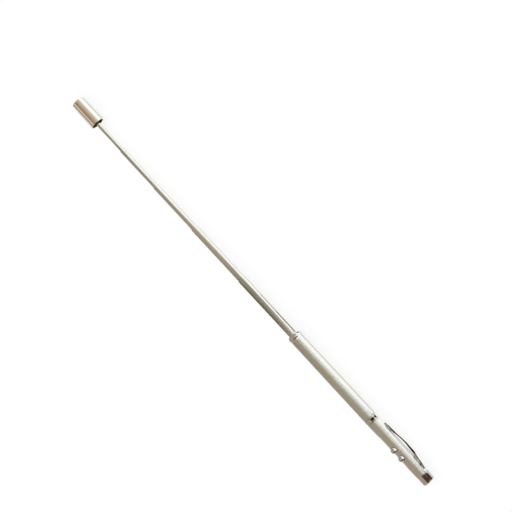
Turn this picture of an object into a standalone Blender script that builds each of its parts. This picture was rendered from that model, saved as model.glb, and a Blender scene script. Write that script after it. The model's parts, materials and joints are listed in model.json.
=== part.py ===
"""Telescopic laser pointer pen, drawn out, with every piece that it is put together from.

The pen lies along +X. The flat face of the tail cap is at the origin and the pen cap is at the
far end. The two push buttons look up (+Z), and the clip sits low on the -Y side, where it also
keeps the pen from rolling. All sizes are in metres.
"""
import math

import bpy
import bmesh
from mathutils import Vector

for old in list(bpy.data.objects):
    bpy.data.objects.remove(old, do_unlink=True)

# Counts of facets and steps.
SIDES = 24
SMALL_SIDES = 12
ROUND_STEPS = 3
BALL_STEPS = 6
SPRING_POINTS_PER_TURN = 8

# Gaps that several pieces share.
SEAM_GAP = 0.00012
SEAT_GAP = 0.0001
SLIDE_GAP = 0.00004
STOP_GAP = 0.0003
CUT_OVERRUN = 0.0006
WELD_SIZE = 0.000001
FEATHER_ROUND = 0.00012

# Tail cap, which carries the laser and the lamp.
TAIL_CAP_LENGTH = 0.00645
TAIL_CAP_DIAMETER = 0.0084
TAIL_CAP_ROUND = 0.00075
TAIL_CAP_SPIGOT_LENGTH = 0.005
TAIL_CAP_FACE_WALL = 0.001
LASER_OFFSET = 0.00185
LASER_WINDOW_DIAMETER = 0.0022
LAMP_OFFSET = 0.00205
LAMP_WINDOW_DIAMETER = 0.0027

# Rear barrel, tapered towards the tail, with an even wall. What it holds gives its length.
BARREL_TAIL_DIAMETER = 0.0087
BARREL_SEAM_DIAMETER = 0.0093
REAR_BARREL_WALL = 0.0003

# Bright ring between the barrel halves.
MIDDLE_RING_LENGTH = 0.00324
MIDDLE_RING_DIAMETER = 0.00936
MIDDLE_RING_ROUND = 0.0006

# Front barrel, tapered towards the front, with a straight bore that the pointer slides in.
FRONT_BARREL_LENGTH = 0.068
BARREL_FRONT_DIAMETER = 0.0089
FRONT_BORE_DIAMETER = 0.0081

# Front ferrule: a short collar that swells to a round bead, with its nose round the tube.
FERRULE_LENGTH = 0.0044
FERRULE_SWELL_HEIGHT = 0.00032
FERRULE_SWELL_ROUND = 0.0023
FERRULE_SPIGOT_LENGTH = 0.004

# Telescoping tubes, number 1 the thinnest. A shown length runs from mouth to mouth, and the
# thickest tube keeps its held length behind the ferrule's front face.
TUBE_1_DIAMETER = 0.00295
TUBE_2_DIAMETER = 0.00365
TUBE_3_DIAMETER = 0.0043
TUBE_4_DIAMETER = 0.00515
TUBE_5_DIAMETER = 0.0059
TUBE_1_SHOWN = 0.0241
TUBE_2_SHOWN = 0.0334
TUBE_3_SHOWN = 0.0374
TUBE_4_SHOWN = 0.0461
TUBE_5_HELD = 0.017
TUBE_5_LENGTH = 0.066
TUBE_WALL = 0.00015
TUBE_1_IN_CAP = 0.01
MOUTH_LIP_LENGTH = 0.0007
MOUTH_ROUND = 0.00012
MOUTH_STEP = 0.0015

# The necked inner end of each tube and the split bush that it carries.
NECK_DEPTH = 0.00015
NECK_SLOPE_LENGTH = 0.0002
FLARE_LENGTH = 0.0005
BUSH_LENGTH = 0.0027
BUSH_END_GAP = 0.00005
BUSH_SLIT = 0.0003

# Writing end.
NIB_LENGTH = 0.0065
NIB_DIAMETER = 0.0042
NIB_TIP_DIAMETER = 0.003
NIB_GRIP_LENGTH = 0.0018
NIB_STRAIGHT_LENGTH = 0.0034
REFILL_DIAMETER = 0.0023
REFILL_WALL = 0.00018
REFILL_LENGTH = 0.052
REFILL_PLUG_LENGTH = 0.003
REFILL_TIP_LENGTH = 0.0032
REFILL_TIP_NECK_LENGTH = 0.0012
REFILL_TIP_END_DIAMETER = 0.00095
REFILL_BALL_DIAMETER = 0.0007
REFILL_BALL_GAP = 0.00003
REFILL_BALL_SHOWN_SHARE = 0.4

# Pen cap.
CAP_LENGTH = 0.0201
CAP_MOUTH_DIAMETER = 0.0097
CAP_END_DIAMETER = 0.0093
CAP_END_ROUND = 0.0005
CAP_BORE_DIAMETER = 0.0086
CAP_BORE_DEPTH = 0.0092
CAP_MOUTH_ROUND = 0.00015
CAP_LINER_DIAMETER = 0.0066
CAP_LINER_LENGTH = 0.0042
CAP_LINER_LEAD_IN = 0.0003
CAP_TIP_BORE_DIAMETER = 0.0038
CAP_END_WALL = 0.0015
CAP_SEAT_GAP = 0.0003

# Threaded coupling between the barrel halves.
COUPLING_THREAD_LENGTH = 0.0054
COUPLING_GLUED_LENGTH = 0.0082
COUPLING_WALL = 0.0007
COUPLING_WEB_THICKNESS = 0.001
COUPLING_RECESS_DEPTH = 0.0034

# Button cells, their sleeve, spring and contact.
CELL_COUNT = 3
CELL_DIAMETER = 0.0079
CELL_THICKNESS = 0.0036
CELL_CAP_DIAMETER = 0.0058
CELL_CAP_HEIGHT = 0.00025
CELL_SHOULDER = 0.0003
CELL_ROUND = 0.0002
CELL_GAP = 0.0001
CELL_SLEEVE_WALL = 0.00015
CELL_SLEEVE_GAP = 0.00006
BATTERY_SPRING_WIRE = 0.0004
BATTERY_SPRING_LENGTH = 0.0043
BATTERY_SPRING_TURNS = 4
BATTERY_SPRING_WIDE = 0.006
BATTERY_SPRING_NARROW = 0.003
CONTACT_DIAMETER = 0.007
CONTACT_THICKNESS = 0.0003
CONTACT_PIP_DIAMETER = 0.0016
CONTACT_PIP_HEIGHT = 0.0005

# Laser unit.
LASER_HOUSING_LENGTH = 0.01
LASER_HOUSING_DIAMETER = 0.0036
LASER_HOUSING_WALL = 0.0003
LASER_SHOULDER_FROM_BACK = 0.0025
LASER_SHOULDER_LENGTH = 0.0006
LASER_SHOULDER_BORE = 0.0024
LENS_NUT_LENGTH = 0.001
LENS_NUT_HOLE = 0.0016
LENS_THICKNESS = 0.0011
LENS_RIM_THICKNESS = 0.0005
DIODE_FLANGE_LENGTH = 0.0009
DIODE_CAN_DIAMETER = 0.0017
DIODE_CAN_LENGTH = 0.0012
FOCUS_SPRING_WIRE = 0.0003
FOCUS_SPRING_TURNS = 5
LEAD_DIAMETER = 0.0004
LEAD_SPACING = 0.0012

# Lamp.
LAMP_DIAMETER = 0.003
LAMP_LENGTH = 0.0053
LAMP_RIM_DIAMETER = 0.0032
LAMP_RIM_LENGTH = 0.0008
LAMP_RECESS = 0.00035

# Circuit board and what lies on it.
BOARD_START = 0.0126
BOARD_LENGTH = 0.0198
BOARD_WIDTH = 0.0066
BOARD_THICKNESS = 0.0008
BOARD_TOP_DROP = 0.0009
SWITCH_WIDTH = 0.0036
SWITCH_HEIGHT = 0.0018
SWITCH_WELL_DIAMETER = 0.0018
PLUNGER_DIAMETER = 0.0016
PLUNGER_LENGTH = 0.0011
RESISTOR_LENGTH = 0.0016
RESISTOR_WIDTH = 0.0008
RESISTOR_HEIGHT = 0.0005
RESISTOR_OFFSET = 0.0018
ON_BOARD_GAP = 0.00005

# Carrier that holds the board.
CARRIER_START = 0.0176
CARRIER_END_WALL = 0.00105
CARRIER_LEDGE = 0.0003
CARRIER_WELL_WIDTH = 0.0044
CARRIER_WELL_DEPTH = 0.0012
CARRIER_WELL_MARGIN = 0.0012

# Ball-topped push buttons.
LAMP_BUTTON_X = 0.0229
LASER_BUTTON_X = 0.0299
BUTTON_BALL_DIAMETER = 0.0043
BUTTON_BALL_HEIGHT = 0.0047
BUTTON_HOLE_GAP = 0.0001
BUTTON_FLANGE_DIAMETER = 0.0052
BUTTON_FLANGE_THICKNESS = 0.0004
BUTTON_FLANGE_DROP = 0.0016
BUTTON_STEM_DIAMETER = 0.0018
BUTTON_STEM_LENGTH = 0.00095
BUTTON_TRAVEL = 0.0005

# Clip, a bowed channel that grows out of a boxy foot. Heights are taken from the barrel.
CLIP_ANGLE = math.radians(120.2)
CLIP_NOSE_X = 0.0084
CLIP_LENGTH = 0.0382
CLIP_RISE = 0.0028
CLIP_FOOT_WIDTH = 0.0056
CLIP_THICKNESS = 0.0004
CLIP_TOP_RADIUS = 0.0037
CLIP_CORNER_ROUND = 0.00035
CLIP_FLARE_SHARE = 0.97
CLIP_LIFT = 0.00205
CLIP_SINK = 0.00012
CLIP_SEAT_GAP = 0.00006
CLIP_ROW_SHARES = (
    0.0, 0.005, 0.014, 0.03, 0.06, 0.1, 0.14, 0.18, 0.215, 0.24, 0.255, 0.27, 0.285, 0.31, 0.35, 0.4,
    0.46, 0.52, 0.58, 0.64, 0.7, 0.76, 0.82, 0.861, 0.9, 0.94, 0.97, 0.988, 1.0,
)
CLIP_LINE_SHARES = (
    (0.0, 0.12), (0.006, 0.24), (0.018, 0.35), (0.04, 0.47), (0.068, 0.58), (0.118, 0.7),
    (0.183, 0.79), (0.233, 0.87), (0.283, 0.93), (0.366, 0.98), (0.448, 0.997), (0.531, 1.0),
    (0.613, 0.91), (0.68, 0.81), (0.746, 0.72), (0.861, 0.635), (0.93, 0.58), (0.974, 0.51),
    (0.99, 0.45), (1.0, 0.36),
)
CLIP_WIDTH_SHARES = (
    (0.0, 0.8), (0.01, 0.93), (0.03, 1.0), (0.2, 1.0), (0.25, 0.95), (0.3, 0.74), (0.4, 0.7),
    (0.8, 0.68), (0.95, 0.64), (0.985, 0.52), (1.0, 0.34),
)
CLIP_LIFT_SHARES = (
    (0.0, 0.0), (0.2, 0.0), (0.245, 0.0), (0.262, 0.25), (0.285, 0.68), (0.32, 0.74), (0.366, 0.77),
    (0.448, 0.89), (0.531, 1.0), (0.613, 0.93), (0.7, 0.78), (0.746, 0.64), (0.8, 0.42),
    (0.861, 0.03), (0.91, 0.06), (0.974, 0.24), (1.0, 0.3),
)
CLIP_COLUMNS = 10
TAB_START_SHARE = 0.11
TAB_ROOT_SHARE = 0.75
TAB_LENGTH = 0.0022
TAB_THICKNESS = 0.0004
TAB_OFFSET = 0.0017
TAB_REACH = 0.0011
TAB_GAP = 0.00015

SHARP_ANGLE = math.radians(32)


def linear(x, x0, y0, x1, y1):
    return y0 + (y1 - y0) * (x - x0) / (x1 - x0)


def along(table, u):
    """Smooth curve through a table of (place, value) shares."""
    last = len(table) - 1
    k = 0
    while k < last - 1 and u > table[k + 1][0]:
        k += 1
    slopes = []
    for i in (k, k + 1):
        lo = max(i - 1, 0)
        hi = min(i + 1, last)
        slopes.append((table[hi][1] - table[lo][1]) / (table[hi][0] - table[lo][0]))
    span = table[k + 1][0] - table[k][0]
    t = (u - table[k][0]) / span
    h00 = (1 + 2 * t) * (1 - t) ** 2
    h10 = t * (1 - t) ** 2
    h01 = t * t * (3 - 2 * t)
    h11 = t * t * (t - 1)
    return (h00 * table[k][1] + h10 * span * slopes[0]
            + h01 * table[k + 1][1] + h11 * span * slopes[1])


def arc(x, r, radius, start, end, steps=ROUND_STEPS):
    """Points on an arc round (x, r), angles in degrees from +x towards +r."""
    points = []
    for i in range(steps + 1):
        a = math.radians(start + (end - start) * i / steps)
        points.append((x + radius * math.cos(a), r + radius * math.sin(a)))
    return points


def material(name, colour, metallic, roughness, transmission=0.0):
    mat = bpy.data.materials.new(name)
    mat.use_nodes = True
    shader = mat.node_tree.nodes["Principled BSDF"]
    shader.inputs["Base Color"].default_value = (*colour, 1.0)
    shader.inputs["Metallic"].default_value = metallic
    shader.inputs["Roughness"].default_value = roughness
    shader.inputs["Transmission Weight"].default_value = transmission
    mat.diffuse_color = (*colour, 1.0)
    return mat


product = bpy.data.collections.new("telescopic_laser_pointer")
cutters = bpy.data.collections.new("cutters")
bpy.context.scene.collection.children.link(product)
bpy.context.scene.collection.children.link(cutters)

COATING = material("champagne_coating", (0.56, 0.51, 0.43), 0.9, 0.34)
CHROME = material("chrome", (0.75, 0.74, 0.71), 1.0, 0.08)
TUBE_METAL = material("tube_plating", (0.58, 0.54, 0.44), 1.0, 0.2)
BRASS = material("brass", (0.72, 0.53, 0.24), 1.0, 0.3)
STEEL = material("steel", (0.6, 0.6, 0.6), 1.0, 0.35)
NICKEL = material("nickel", (0.7, 0.68, 0.63), 1.0, 0.25)
BOARD_GREEN = material("board", (0.04, 0.2, 0.09), 0.0, 0.5)
BLACK_PLASTIC = material("black_plastic", (0.03, 0.03, 0.03), 0.0, 0.5)
WHITE_PLASTIC = material("white_plastic", (0.8, 0.79, 0.75), 0.0, 0.45)
CLEAR = material("clear", (0.85, 0.88, 0.9), 0.0, 0.05, 0.9)


def keep(ob, mat=None, group=None):
    group = group or product
    for other in list(ob.users_collection):
        other.objects.unlink(ob)
    group.objects.link(ob)
    if mat is not None:
        ob.data.materials.clear()
        ob.data.materials.append(mat)
    if group is cutters:
        ob.hide_render = True
        ob.display_type = "WIRE"
    return ob


def turned(name, outline, mat, place, sides=SIDES, upright=False, group=None):
    """Turn an outline of (along, radius) points, listed up the outer side, about its axis."""
    mesh = bpy.data.meshes.new(name)
    points = [(r, 0.0, x) for x, r in reversed(outline)]
    edges = [(i, i + 1) for i in range(len(points) - 1)]
    if outline[0][1] > 0.0:
        edges.append((len(points) - 1, 0))
    mesh.from_pydata(points, edges, [])
    ob = keep(bpy.data.objects.new(name, mesh), mat, group)
    spin = ob.modifiers.new("spin", "SCREW")
    spin.axis = "Z"
    spin.angle = math.tau
    spin.steps = sides
    spin.render_steps = sides
    spin.use_merge_vertices = True
    spin.merge_threshold = WELD_SIZE
    if not upright:
        ob.rotation_euler = (0.0, math.pi / 2, 0.0)
    ob.location = place
    return ob


def box(name, size, centre, mat=None, group=None, turn=0.0):
    mesh = bpy.data.meshes.new(name)
    bm = bmesh.new()
    bmesh.ops.create_cube(bm, size=1.0)
    bmesh.ops.scale(bm, vec=Vector(size), verts=bm.verts)
    bm.to_mesh(mesh)
    bm.free()
    ob = keep(bpy.data.objects.new(name, mesh), mat, group)
    ob.location = centre
    ob.rotation_euler = (turn, 0.0, 0.0)
    return ob


def rod(name, diameter, length, start, mat=None, group=None, upright=False, sides=SMALL_SIDES):
    """Plain round rod from its start point along +X, or along +Z when upright."""
    mesh = bpy.data.meshes.new(name)
    bm = bmesh.new()
    bmesh.ops.create_cone(bm, cap_ends=True, segments=sides, radius1=diameter / 2,
                          radius2=diameter / 2, depth=length)
    bmesh.ops.translate(bm, vec=(0.0, 0.0, length / 2), verts=bm.verts)
    bm.to_mesh(mesh)
    bm.free()
    ob = keep(bpy.data.objects.new(name, mesh), mat, group)
    ob.location = start
    if not upright:
        ob.rotation_euler = (0.0, math.pi / 2, 0.0)
    return ob


def combine(ob, tool, how):
    step = ob.modifiers.new(tool.name, "BOOLEAN")
    step.operation = how
    step.solver = "EXACT"
    step.object = tool
    return step


def spring(name, wire, wide, narrow, length, turns, start, mat):
    """Open coil along +X, whose diameter runs from wide to narrow."""
    curve = bpy.data.curves.new(name, "CURVE")
    curve.dimensions = "3D"
    curve.bevel_depth = wire / 2
    curve.bevel_resolution = 1
    curve.use_fill_caps = True
    count = turns * SPRING_POINTS_PER_TURN
    line = curve.splines.new("POLY")
    line.points.add(count)
    run = length - wire
    for i in range(count + 1):
        share = i / count
        a = math.tau * turns * share
        r = (wide + (narrow - wide) * share) / 2
        x = wire / 2 + run * share
        line.points[i].co = (x, r * math.cos(a), r * math.sin(a), 1.0)
    least = run / turns - wire
    print(name, "least gap between turns, mm:", round(least * 1000, 3))
    ob = keep(bpy.data.objects.new(name, curve), mat)
    ob.location = start
    return ob


def finish():
    """Apply the modifiers of every piece and shade its round faces smooth."""
    bpy.context.view_layer.update()
    graph = bpy.context.evaluated_depsgraph_get()
    made = {}
    for ob in product.objects:
        if ob.type == "MESH":
            made[ob] = bpy.data.meshes.new_from_object(ob.evaluated_get(graph), depsgraph=graph)
    for ob, mesh in made.items():
        ob.modifiers.clear()
        mesh.name = ob.name
        ob.data = mesh
        mesh.shade_smooth()
        mesh.set_sharp_from_angle(angle=SHARP_ANGLE)


# Places along the pen.
X_REAR_BARREL = TAIL_CAP_LENGTH + SEAM_GAP
X_BOARD_END = BOARD_START + BOARD_LENGTH
X_CARRIER_END = X_BOARD_END + ON_BOARD_GAP + CARRIER_END_WALL
X_CONTACT = X_CARRIER_END + SEAT_GAP
X_CELLS = X_CONTACT + CONTACT_THICKNESS + CONTACT_PIP_HEIGHT + CELL_GAP
X_CELLS_END = X_CELLS + (CELL_THICKNESS + CELL_GAP) * CELL_COUNT - CELL_GAP
X_BATTERY_SPRING = X_CELLS_END + SEAT_GAP
X_COUPLING = X_BATTERY_SPRING + BATTERY_SPRING_LENGTH + SEAT_GAP - COUPLING_RECESS_DEPTH
X_SEAM = X_COUPLING + COUPLING_THREAD_LENGTH
X_MIDDLE_RING = X_SEAM + SEAM_GAP
X_FRONT_BARREL = X_MIDDLE_RING + MIDDLE_RING_LENGTH + SEAM_GAP
X_FERRULE = X_FRONT_BARREL + FRONT_BARREL_LENGTH + SEAM_GAP
X_FERRULE_FRONT = X_FERRULE + FERRULE_LENGTH
X_MOUTH_5 = X_FERRULE_FRONT + TUBE_5_LENGTH - TUBE_5_HELD
X_MOUTH_4 = X_MOUTH_5 + TUBE_4_SHOWN
X_MOUTH_3 = X_MOUTH_4 + TUBE_3_SHOWN
X_MOUTH_2 = X_MOUTH_3 + TUBE_2_SHOWN
X_CAP = X_MOUTH_2 + TUBE_1_SHOWN
X_TUBE_1_FRONT = X_CAP + TUBE_1_IN_CAP


def barrel_radius(x):
    return linear(x, X_REAR_BARREL, BARREL_TAIL_DIAMETER, X_SEAM, BARREL_SEAM_DIAMETER) / 2


def bore_radius(x):
    return barrel_radius(x) - REAR_BARREL_WALL


# Tail cap.
cap_r = TAIL_CAP_DIAMETER / 2
spigot_r = bore_radius(X_REAR_BARREL) - SEAT_GAP
spigot_end = TAIL_CAP_LENGTH + TAIL_CAP_SPIGOT_LENGTH
outline = [(0.0, 0.0)]
outline += arc(TAIL_CAP_ROUND, cap_r - TAIL_CAP_ROUND, TAIL_CAP_ROUND, 180, 90)
outline += arc(TAIL_CAP_LENGTH - FEATHER_ROUND, cap_r - FEATHER_ROUND, FEATHER_ROUND, 90, 0, 2)
outline += [(TAIL_CAP_LENGTH, spigot_r), (spigot_end - FEATHER_ROUND, spigot_r),
            (spigot_end, spigot_r - FEATHER_ROUND), (spigot_end, 0.0)]
tail_cap = turned("tail_cap", outline, CHROME, (0.0, 0.0, 0.0))

laser_place = (-CUT_OVERRUN, -LASER_OFFSET, 0.0)
lamp_place = (-CUT_OVERRUN, LAMP_OFFSET, 0.0)
deep_start = (TAIL_CAP_FACE_WALL, -LASER_OFFSET, 0.0)
lamp_deep_start = (TAIL_CAP_FACE_WALL, LAMP_OFFSET, 0.0)
deep_length = spigot_end - TAIL_CAP_FACE_WALL + CUT_OVERRUN
window_length = TAIL_CAP_FACE_WALL + CUT_OVERRUN + CUT_OVERRUN
lamp_bore = LAMP_RIM_DIAMETER + SEAT_GAP
laser_bore = LASER_HOUSING_DIAMETER + SEAT_GAP
for tool in (
        rod("cut_laser_bore", laser_bore, deep_length, deep_start, None, cutters, sides=SIDES),
        rod("cut_lamp_bore", lamp_bore, deep_length, lamp_deep_start, None, cutters, sides=SIDES),
        rod("cut_laser_window", LASER_WINDOW_DIAMETER, window_length, laser_place, None, cutters,
            sides=SIDES),
        rod("cut_lamp_window", LAMP_WINDOW_DIAMETER, window_length, lamp_place, None, cutters,
            sides=SIDES)):
    combine(tail_cap, tool, "DIFFERENCE")

# Laser unit: housing, lens nut, lens, focus spring and diode, front to back.
x_laser = TAIL_CAP_FACE_WALL + STOP_GAP
shell_r = LASER_HOUSING_DIAMETER / 2
hollow_r = shell_r - LASER_HOUSING_WALL
shoulder_back = LASER_HOUSING_LENGTH - LASER_SHOULDER_FROM_BACK
shoulder_front = shoulder_back - LASER_SHOULDER_LENGTH
outline = [(0.0, shell_r), (LASER_HOUSING_LENGTH, shell_r), (LASER_HOUSING_LENGTH, hollow_r),
           (shoulder_back, hollow_r), (shoulder_back, LASER_SHOULDER_BORE / 2),
           (shoulder_front, LASER_SHOULDER_BORE / 2), (shoulder_front, hollow_r), (0.0, hollow_r)]
turned("laser_housing", outline, BRASS, (x_laser, -LASER_OFFSET, 0.0))

inner_r = hollow_r - SEAT_GAP
x_nut = x_laser + SEAT_GAP
outline = [(0.0, inner_r), (LENS_NUT_LENGTH, inner_r), (LENS_NUT_LENGTH, LENS_NUT_HOLE / 2),
           (0.0, LENS_NUT_HOLE / 2)]
turned("lens_nut", outline, BRASS, (x_nut, -LASER_OFFSET, 0.0))

x_lens = x_nut + LENS_NUT_LENGTH + SEAT_GAP
lens_bulge = LENS_THICKNESS - LENS_RIM_THICKNESS
outline = [(0.0, 0.0), (0.0, inner_r), (LENS_RIM_THICKNESS, inner_r)]
for i in range(1, ROUND_STEPS + 1):
    share = i / ROUND_STEPS
    outline.append((LENS_RIM_THICKNESS + lens_bulge * (1 - (1 - share) ** 2), inner_r * (1 - share)))
turned("laser_lens", outline, CLEAR, (x_lens, -LASER_OFFSET, 0.0))

x_focus = x_lens + LENS_THICKNESS + SEAT_GAP
focus_length = x_laser + shoulder_front - SEAT_GAP - x_focus
focus_wide = (inner_r - FOCUS_SPRING_WIRE / 2) * 2
spring("focus_spring", FOCUS_SPRING_WIRE, focus_wide, focus_wide, focus_length,
       FOCUS_SPRING_TURNS, (x_focus, -LASER_OFFSET, 0.0), STEEL)

x_diode = x_laser + shoulder_back + SEAT_GAP
outline = [(-DIODE_CAN_LENGTH, 0.0), (-DIODE_CAN_LENGTH, DIODE_CAN_DIAMETER / 2),
           (0.0, DIODE_CAN_DIAMETER / 2), (0.0, inner_r), (DIODE_FLANGE_LENGTH, inner_r),
           (DIODE_FLANGE_LENGTH, 0.0)]
diode = turned("laser_diode", outline, NICKEL, (x_diode, -LASER_OFFSET, 0.0), SMALL_SIDES)

# Lamp, its dome just behind the tail face.
lamp_r = LAMP_DIAMETER / 2
outline = arc(lamp_r, 0.0, lamp_r, 180, 90, BALL_STEPS - ROUND_STEPS)
outline[0] = (0.0, 0.0)
outline += [(LAMP_LENGTH - LAMP_RIM_LENGTH, lamp_r),
            (LAMP_LENGTH - LAMP_RIM_LENGTH, LAMP_RIM_DIAMETER / 2),
            (LAMP_LENGTH, LAMP_RIM_DIAMETER / 2), (LAMP_LENGTH, 0.0)]
lamp = turned("white_lamp", outline, CLEAR, (LAMP_RECESS, LAMP_OFFSET, 0.0), SMALL_SIDES)

# Two straight leads each, which lie on the board.
board_top = -BOARD_TOP_DROP
lead_z = board_top + ON_BOARD_GAP + LEAD_DIAMETER / 2
lead_end = BOARD_START + CARRIER_WELL_MARGIN
for owner, x_back, y in ((diode, x_diode + DIODE_FLANGE_LENGTH, -LASER_OFFSET),
                         (lamp, LAMP_RECESS + LAMP_LENGTH, LAMP_OFFSET)):
    for side in (-1, 1):
        x0 = x_back - SEAT_GAP
        lead = rod("add_lead", LEAD_DIAMETER, lead_end - x0,
                   (x0, y + side * LEAD_SPACING / 2, lead_z), None, cutters, sides=8)
        combine(owner, lead, "UNION")

# Rear barrel with its two button holes and the two slots for the clip's tabs.
rear_length = X_SEAM - X_REAR_BARREL
tail_r = BARREL_TAIL_DIAMETER / 2
seam_r = BARREL_SEAM_DIAMETER / 2
outline = arc(FEATHER_ROUND, tail_r - FEATHER_ROUND, FEATHER_ROUND, 180, 90, 2)
outline += arc(rear_length - FEATHER_ROUND, seam_r - FEATHER_ROUND, FEATHER_ROUND, 90, 0, 2)
outline += [(rear_length, seam_r - REAR_BARREL_WALL), (0.0, tail_r - REAR_BARREL_WALL)]
rear_barrel = turned("rear_barrel", outline, COATING, (X_REAR_BARREL, 0.0, 0.0))
hole = BUTTON_BALL_DIAMETER + BUTTON_HOLE_GAP * 2
for x in (LAMP_BUTTON_X, LASER_BUTTON_X):
    combine(rear_barrel, rod("cut_button_hole", hole, seam_r + CUT_OVERRUN, (x, 0.0, 0.0), None,
                             cutters, upright=True, sides=SIDES), "DIFFERENCE")

# Clip: a grid bent into a bowed channel with a boxy foot, given its thickness and then cut to
# the barrel's round.
pivot_r = barrel_radius(CLIP_NOSE_X)


def clip_top(x, crest, y):
    rim = barrel_radius(x) + CLIP_SEAT_GAP + CLIP_THICKNESS
    return max(crest - y * y / (CLIP_TOP_RADIUS * 2), math.sqrt(rim * rim - y * y))


def clip_crest(u):
    return barrel_radius(CLIP_NOSE_X + CLIP_LENGTH * u) + CLIP_RISE * along(CLIP_LINE_SHARES, u)


def clip_point(u, column):
    """Point of the outer skin, columns from the crest (0) down to the wall's lower edge (5)."""
    x = CLIP_NOSE_X + CLIP_LENGTH * u
    foot = CLIP_FOOT_WIDTH / 2 * along(CLIP_WIDTH_SHARES, u)
    half = foot * CLIP_FLARE_SHARE
    crest = clip_crest(u)
    corner = clip_top(x, crest, half)
    inset = half - CLIP_CORNER_ROUND
    bevel = CLIP_CORNER_ROUND * (1 - math.sqrt(0.5))
    edge = math.sqrt(barrel_radius(x) ** 2 - foot * foot) + CLIP_LIFT * along(CLIP_LIFT_SHARES, u)
    y, z = (
        (0.0, crest),
        (inset / 2, clip_top(x, crest, inset / 2)),
        (inset, clip_top(x, crest, inset)),
        (half - bevel, corner - bevel),
        (half, corner - CLIP_CORNER_ROUND),
        (foot, edge - CLIP_SINK),
    )[abs(column)]
    if column == 0:
        z = clip_top(x, crest, y)
    return Vector((x - CLIP_NOSE_X, math.copysign(y, column), z - pivot_r))


bpy.ops.mesh.primitive_grid_add(x_subdivisions=len(CLIP_ROW_SHARES) - 1, y_subdivisions=CLIP_COLUMNS,
                                size=1.0)
clip = bpy.context.active_object
clip.name = "clip"
for vert in clip.data.vertices:
    row = round((vert.co.x + 0.5) * (len(CLIP_ROW_SHARES) - 1))
    vert.co = clip_point(CLIP_ROW_SHARES[row], round(vert.co.y * CLIP_COLUMNS))
keep(clip, CHROME)
clip.location = (CLIP_NOSE_X, -math.sin(CLIP_ANGLE) * pivot_r, math.cos(CLIP_ANGLE) * pivot_r)
clip.rotation_euler = (CLIP_ANGLE, 0.0, 0.0)
skin = clip.modifiers.new("thickness", "SOLIDIFY")
skin.thickness = CLIP_THICKNESS
skin.offset = -1.0
seat_length = X_SEAM - X_REAR_BARREL
outline = [(0.0, 0.0), (0.0, BARREL_TAIL_DIAMETER / 2 + CLIP_SEAT_GAP),
           (seat_length, BARREL_SEAM_DIAMETER / 2 + CLIP_SEAT_GAP), (seat_length, 0.0)]
combine(clip, turned("cut_clip_seat", outline, None, (X_REAR_BARREL, 0.0, 0.0), group=cutters),
        "DIFFERENCE")

tab_x = CLIP_NOSE_X + CLIP_LENGTH * TAB_START_SHARE + TAB_LENGTH / 2
tab_surface = math.sqrt(barrel_radius(tab_x) ** 2 - TAB_OFFSET ** 2)
tab_u = (tab_x - CLIP_NOSE_X) / CLIP_LENGTH
tab_top = clip_top(tab_x, clip_crest(tab_u), TAB_OFFSET) - CLIP_THICKNESS * TAB_ROOT_SHARE
tab_bottom = tab_surface - TAB_REACH
tab_z = (tab_top + tab_bottom) / 2
for side in (-1, 1):
    y = side * TAB_OFFSET
    centre = (tab_x, y * math.cos(CLIP_ANGLE) - tab_z * math.sin(CLIP_ANGLE),
              y * math.sin(CLIP_ANGLE) + tab_z * math.cos(CLIP_ANGLE))
    size = (TAB_LENGTH, TAB_THICKNESS, tab_top - tab_bottom)
    combine(clip, box("add_tab", size, centre, None, cutters, CLIP_ANGLE), "UNION")
    slot = (TAB_LENGTH + TAB_GAP * 2, TAB_THICKNESS + TAB_GAP * 2, tab_top - tab_bottom + CUT_OVERRUN)
    combine(rear_barrel, box("cut_tab_slot", slot, centre, None, cutters, CLIP_ANGLE), "DIFFERENCE")

# Carrier: a tapered plug that fits the bore, opened on top for the board and the switches.
carrier_length = X_CARRIER_END - CARRIER_START
carrier_r0 = bore_radius(CARRIER_START) - SEAT_GAP
carrier_r1 = bore_radius(X_CARRIER_END) - SEAT_GAP
outline = [(0.0, 0.0), (0.0, carrier_r0), (carrier_length, carrier_r1), (carrier_length, 0.0)]
carrier = turned("board_carrier", outline, BLACK_PLASTIC, (CARRIER_START, 0.0, 0.0))
open_end = X_BOARD_END + ON_BOARD_GAP
open_start = CARRIER_START - CUT_OVERRUN
open_mid = (open_start + open_end) / 2
open_length = open_end - open_start
ledge_z = board_top + CARRIER_LEDGE
top_height = carrier_r1 + CUT_OVERRUN
combine(carrier, box("cut_carrier_top", (open_length, carrier_r1 * 2 + CUT_OVERRUN, top_height),
                     (open_mid, 0.0, ledge_z + top_height / 2), None, cutters), "DIFFERENCE")
board_bottom = board_top - BOARD_THICKNESS
pocket_z = board_bottom - ON_BOARD_GAP
combine(carrier, box("cut_board_pocket", (open_length, BOARD_WIDTH + ON_BOARD_GAP * 2, top_height),
                     (open_mid, 0.0, pocket_z + top_height / 2), None, cutters), "DIFFERENCE")
well_start = CARRIER_START + CARRIER_WELL_MARGIN
well_end = X_BOARD_END - CARRIER_WELL_MARGIN
well_height = CARRIER_WELL_DEPTH + CUT_OVERRUN
combine(carrier, box("cut_solder_well", (well_end - well_start, CARRIER_WELL_WIDTH, well_height),
                     ((well_start + well_end) / 2, 0.0,
                      pocket_z - CARRIER_WELL_DEPTH + well_height / 2), None, cutters), "DIFFERENCE")

box("circuit_board", (BOARD_LENGTH, BOARD_WIDTH, BOARD_THICKNESS),
    (BOARD_START + BOARD_LENGTH / 2, 0.0, board_top - BOARD_THICKNESS / 2), BOARD_GREEN)

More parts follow.
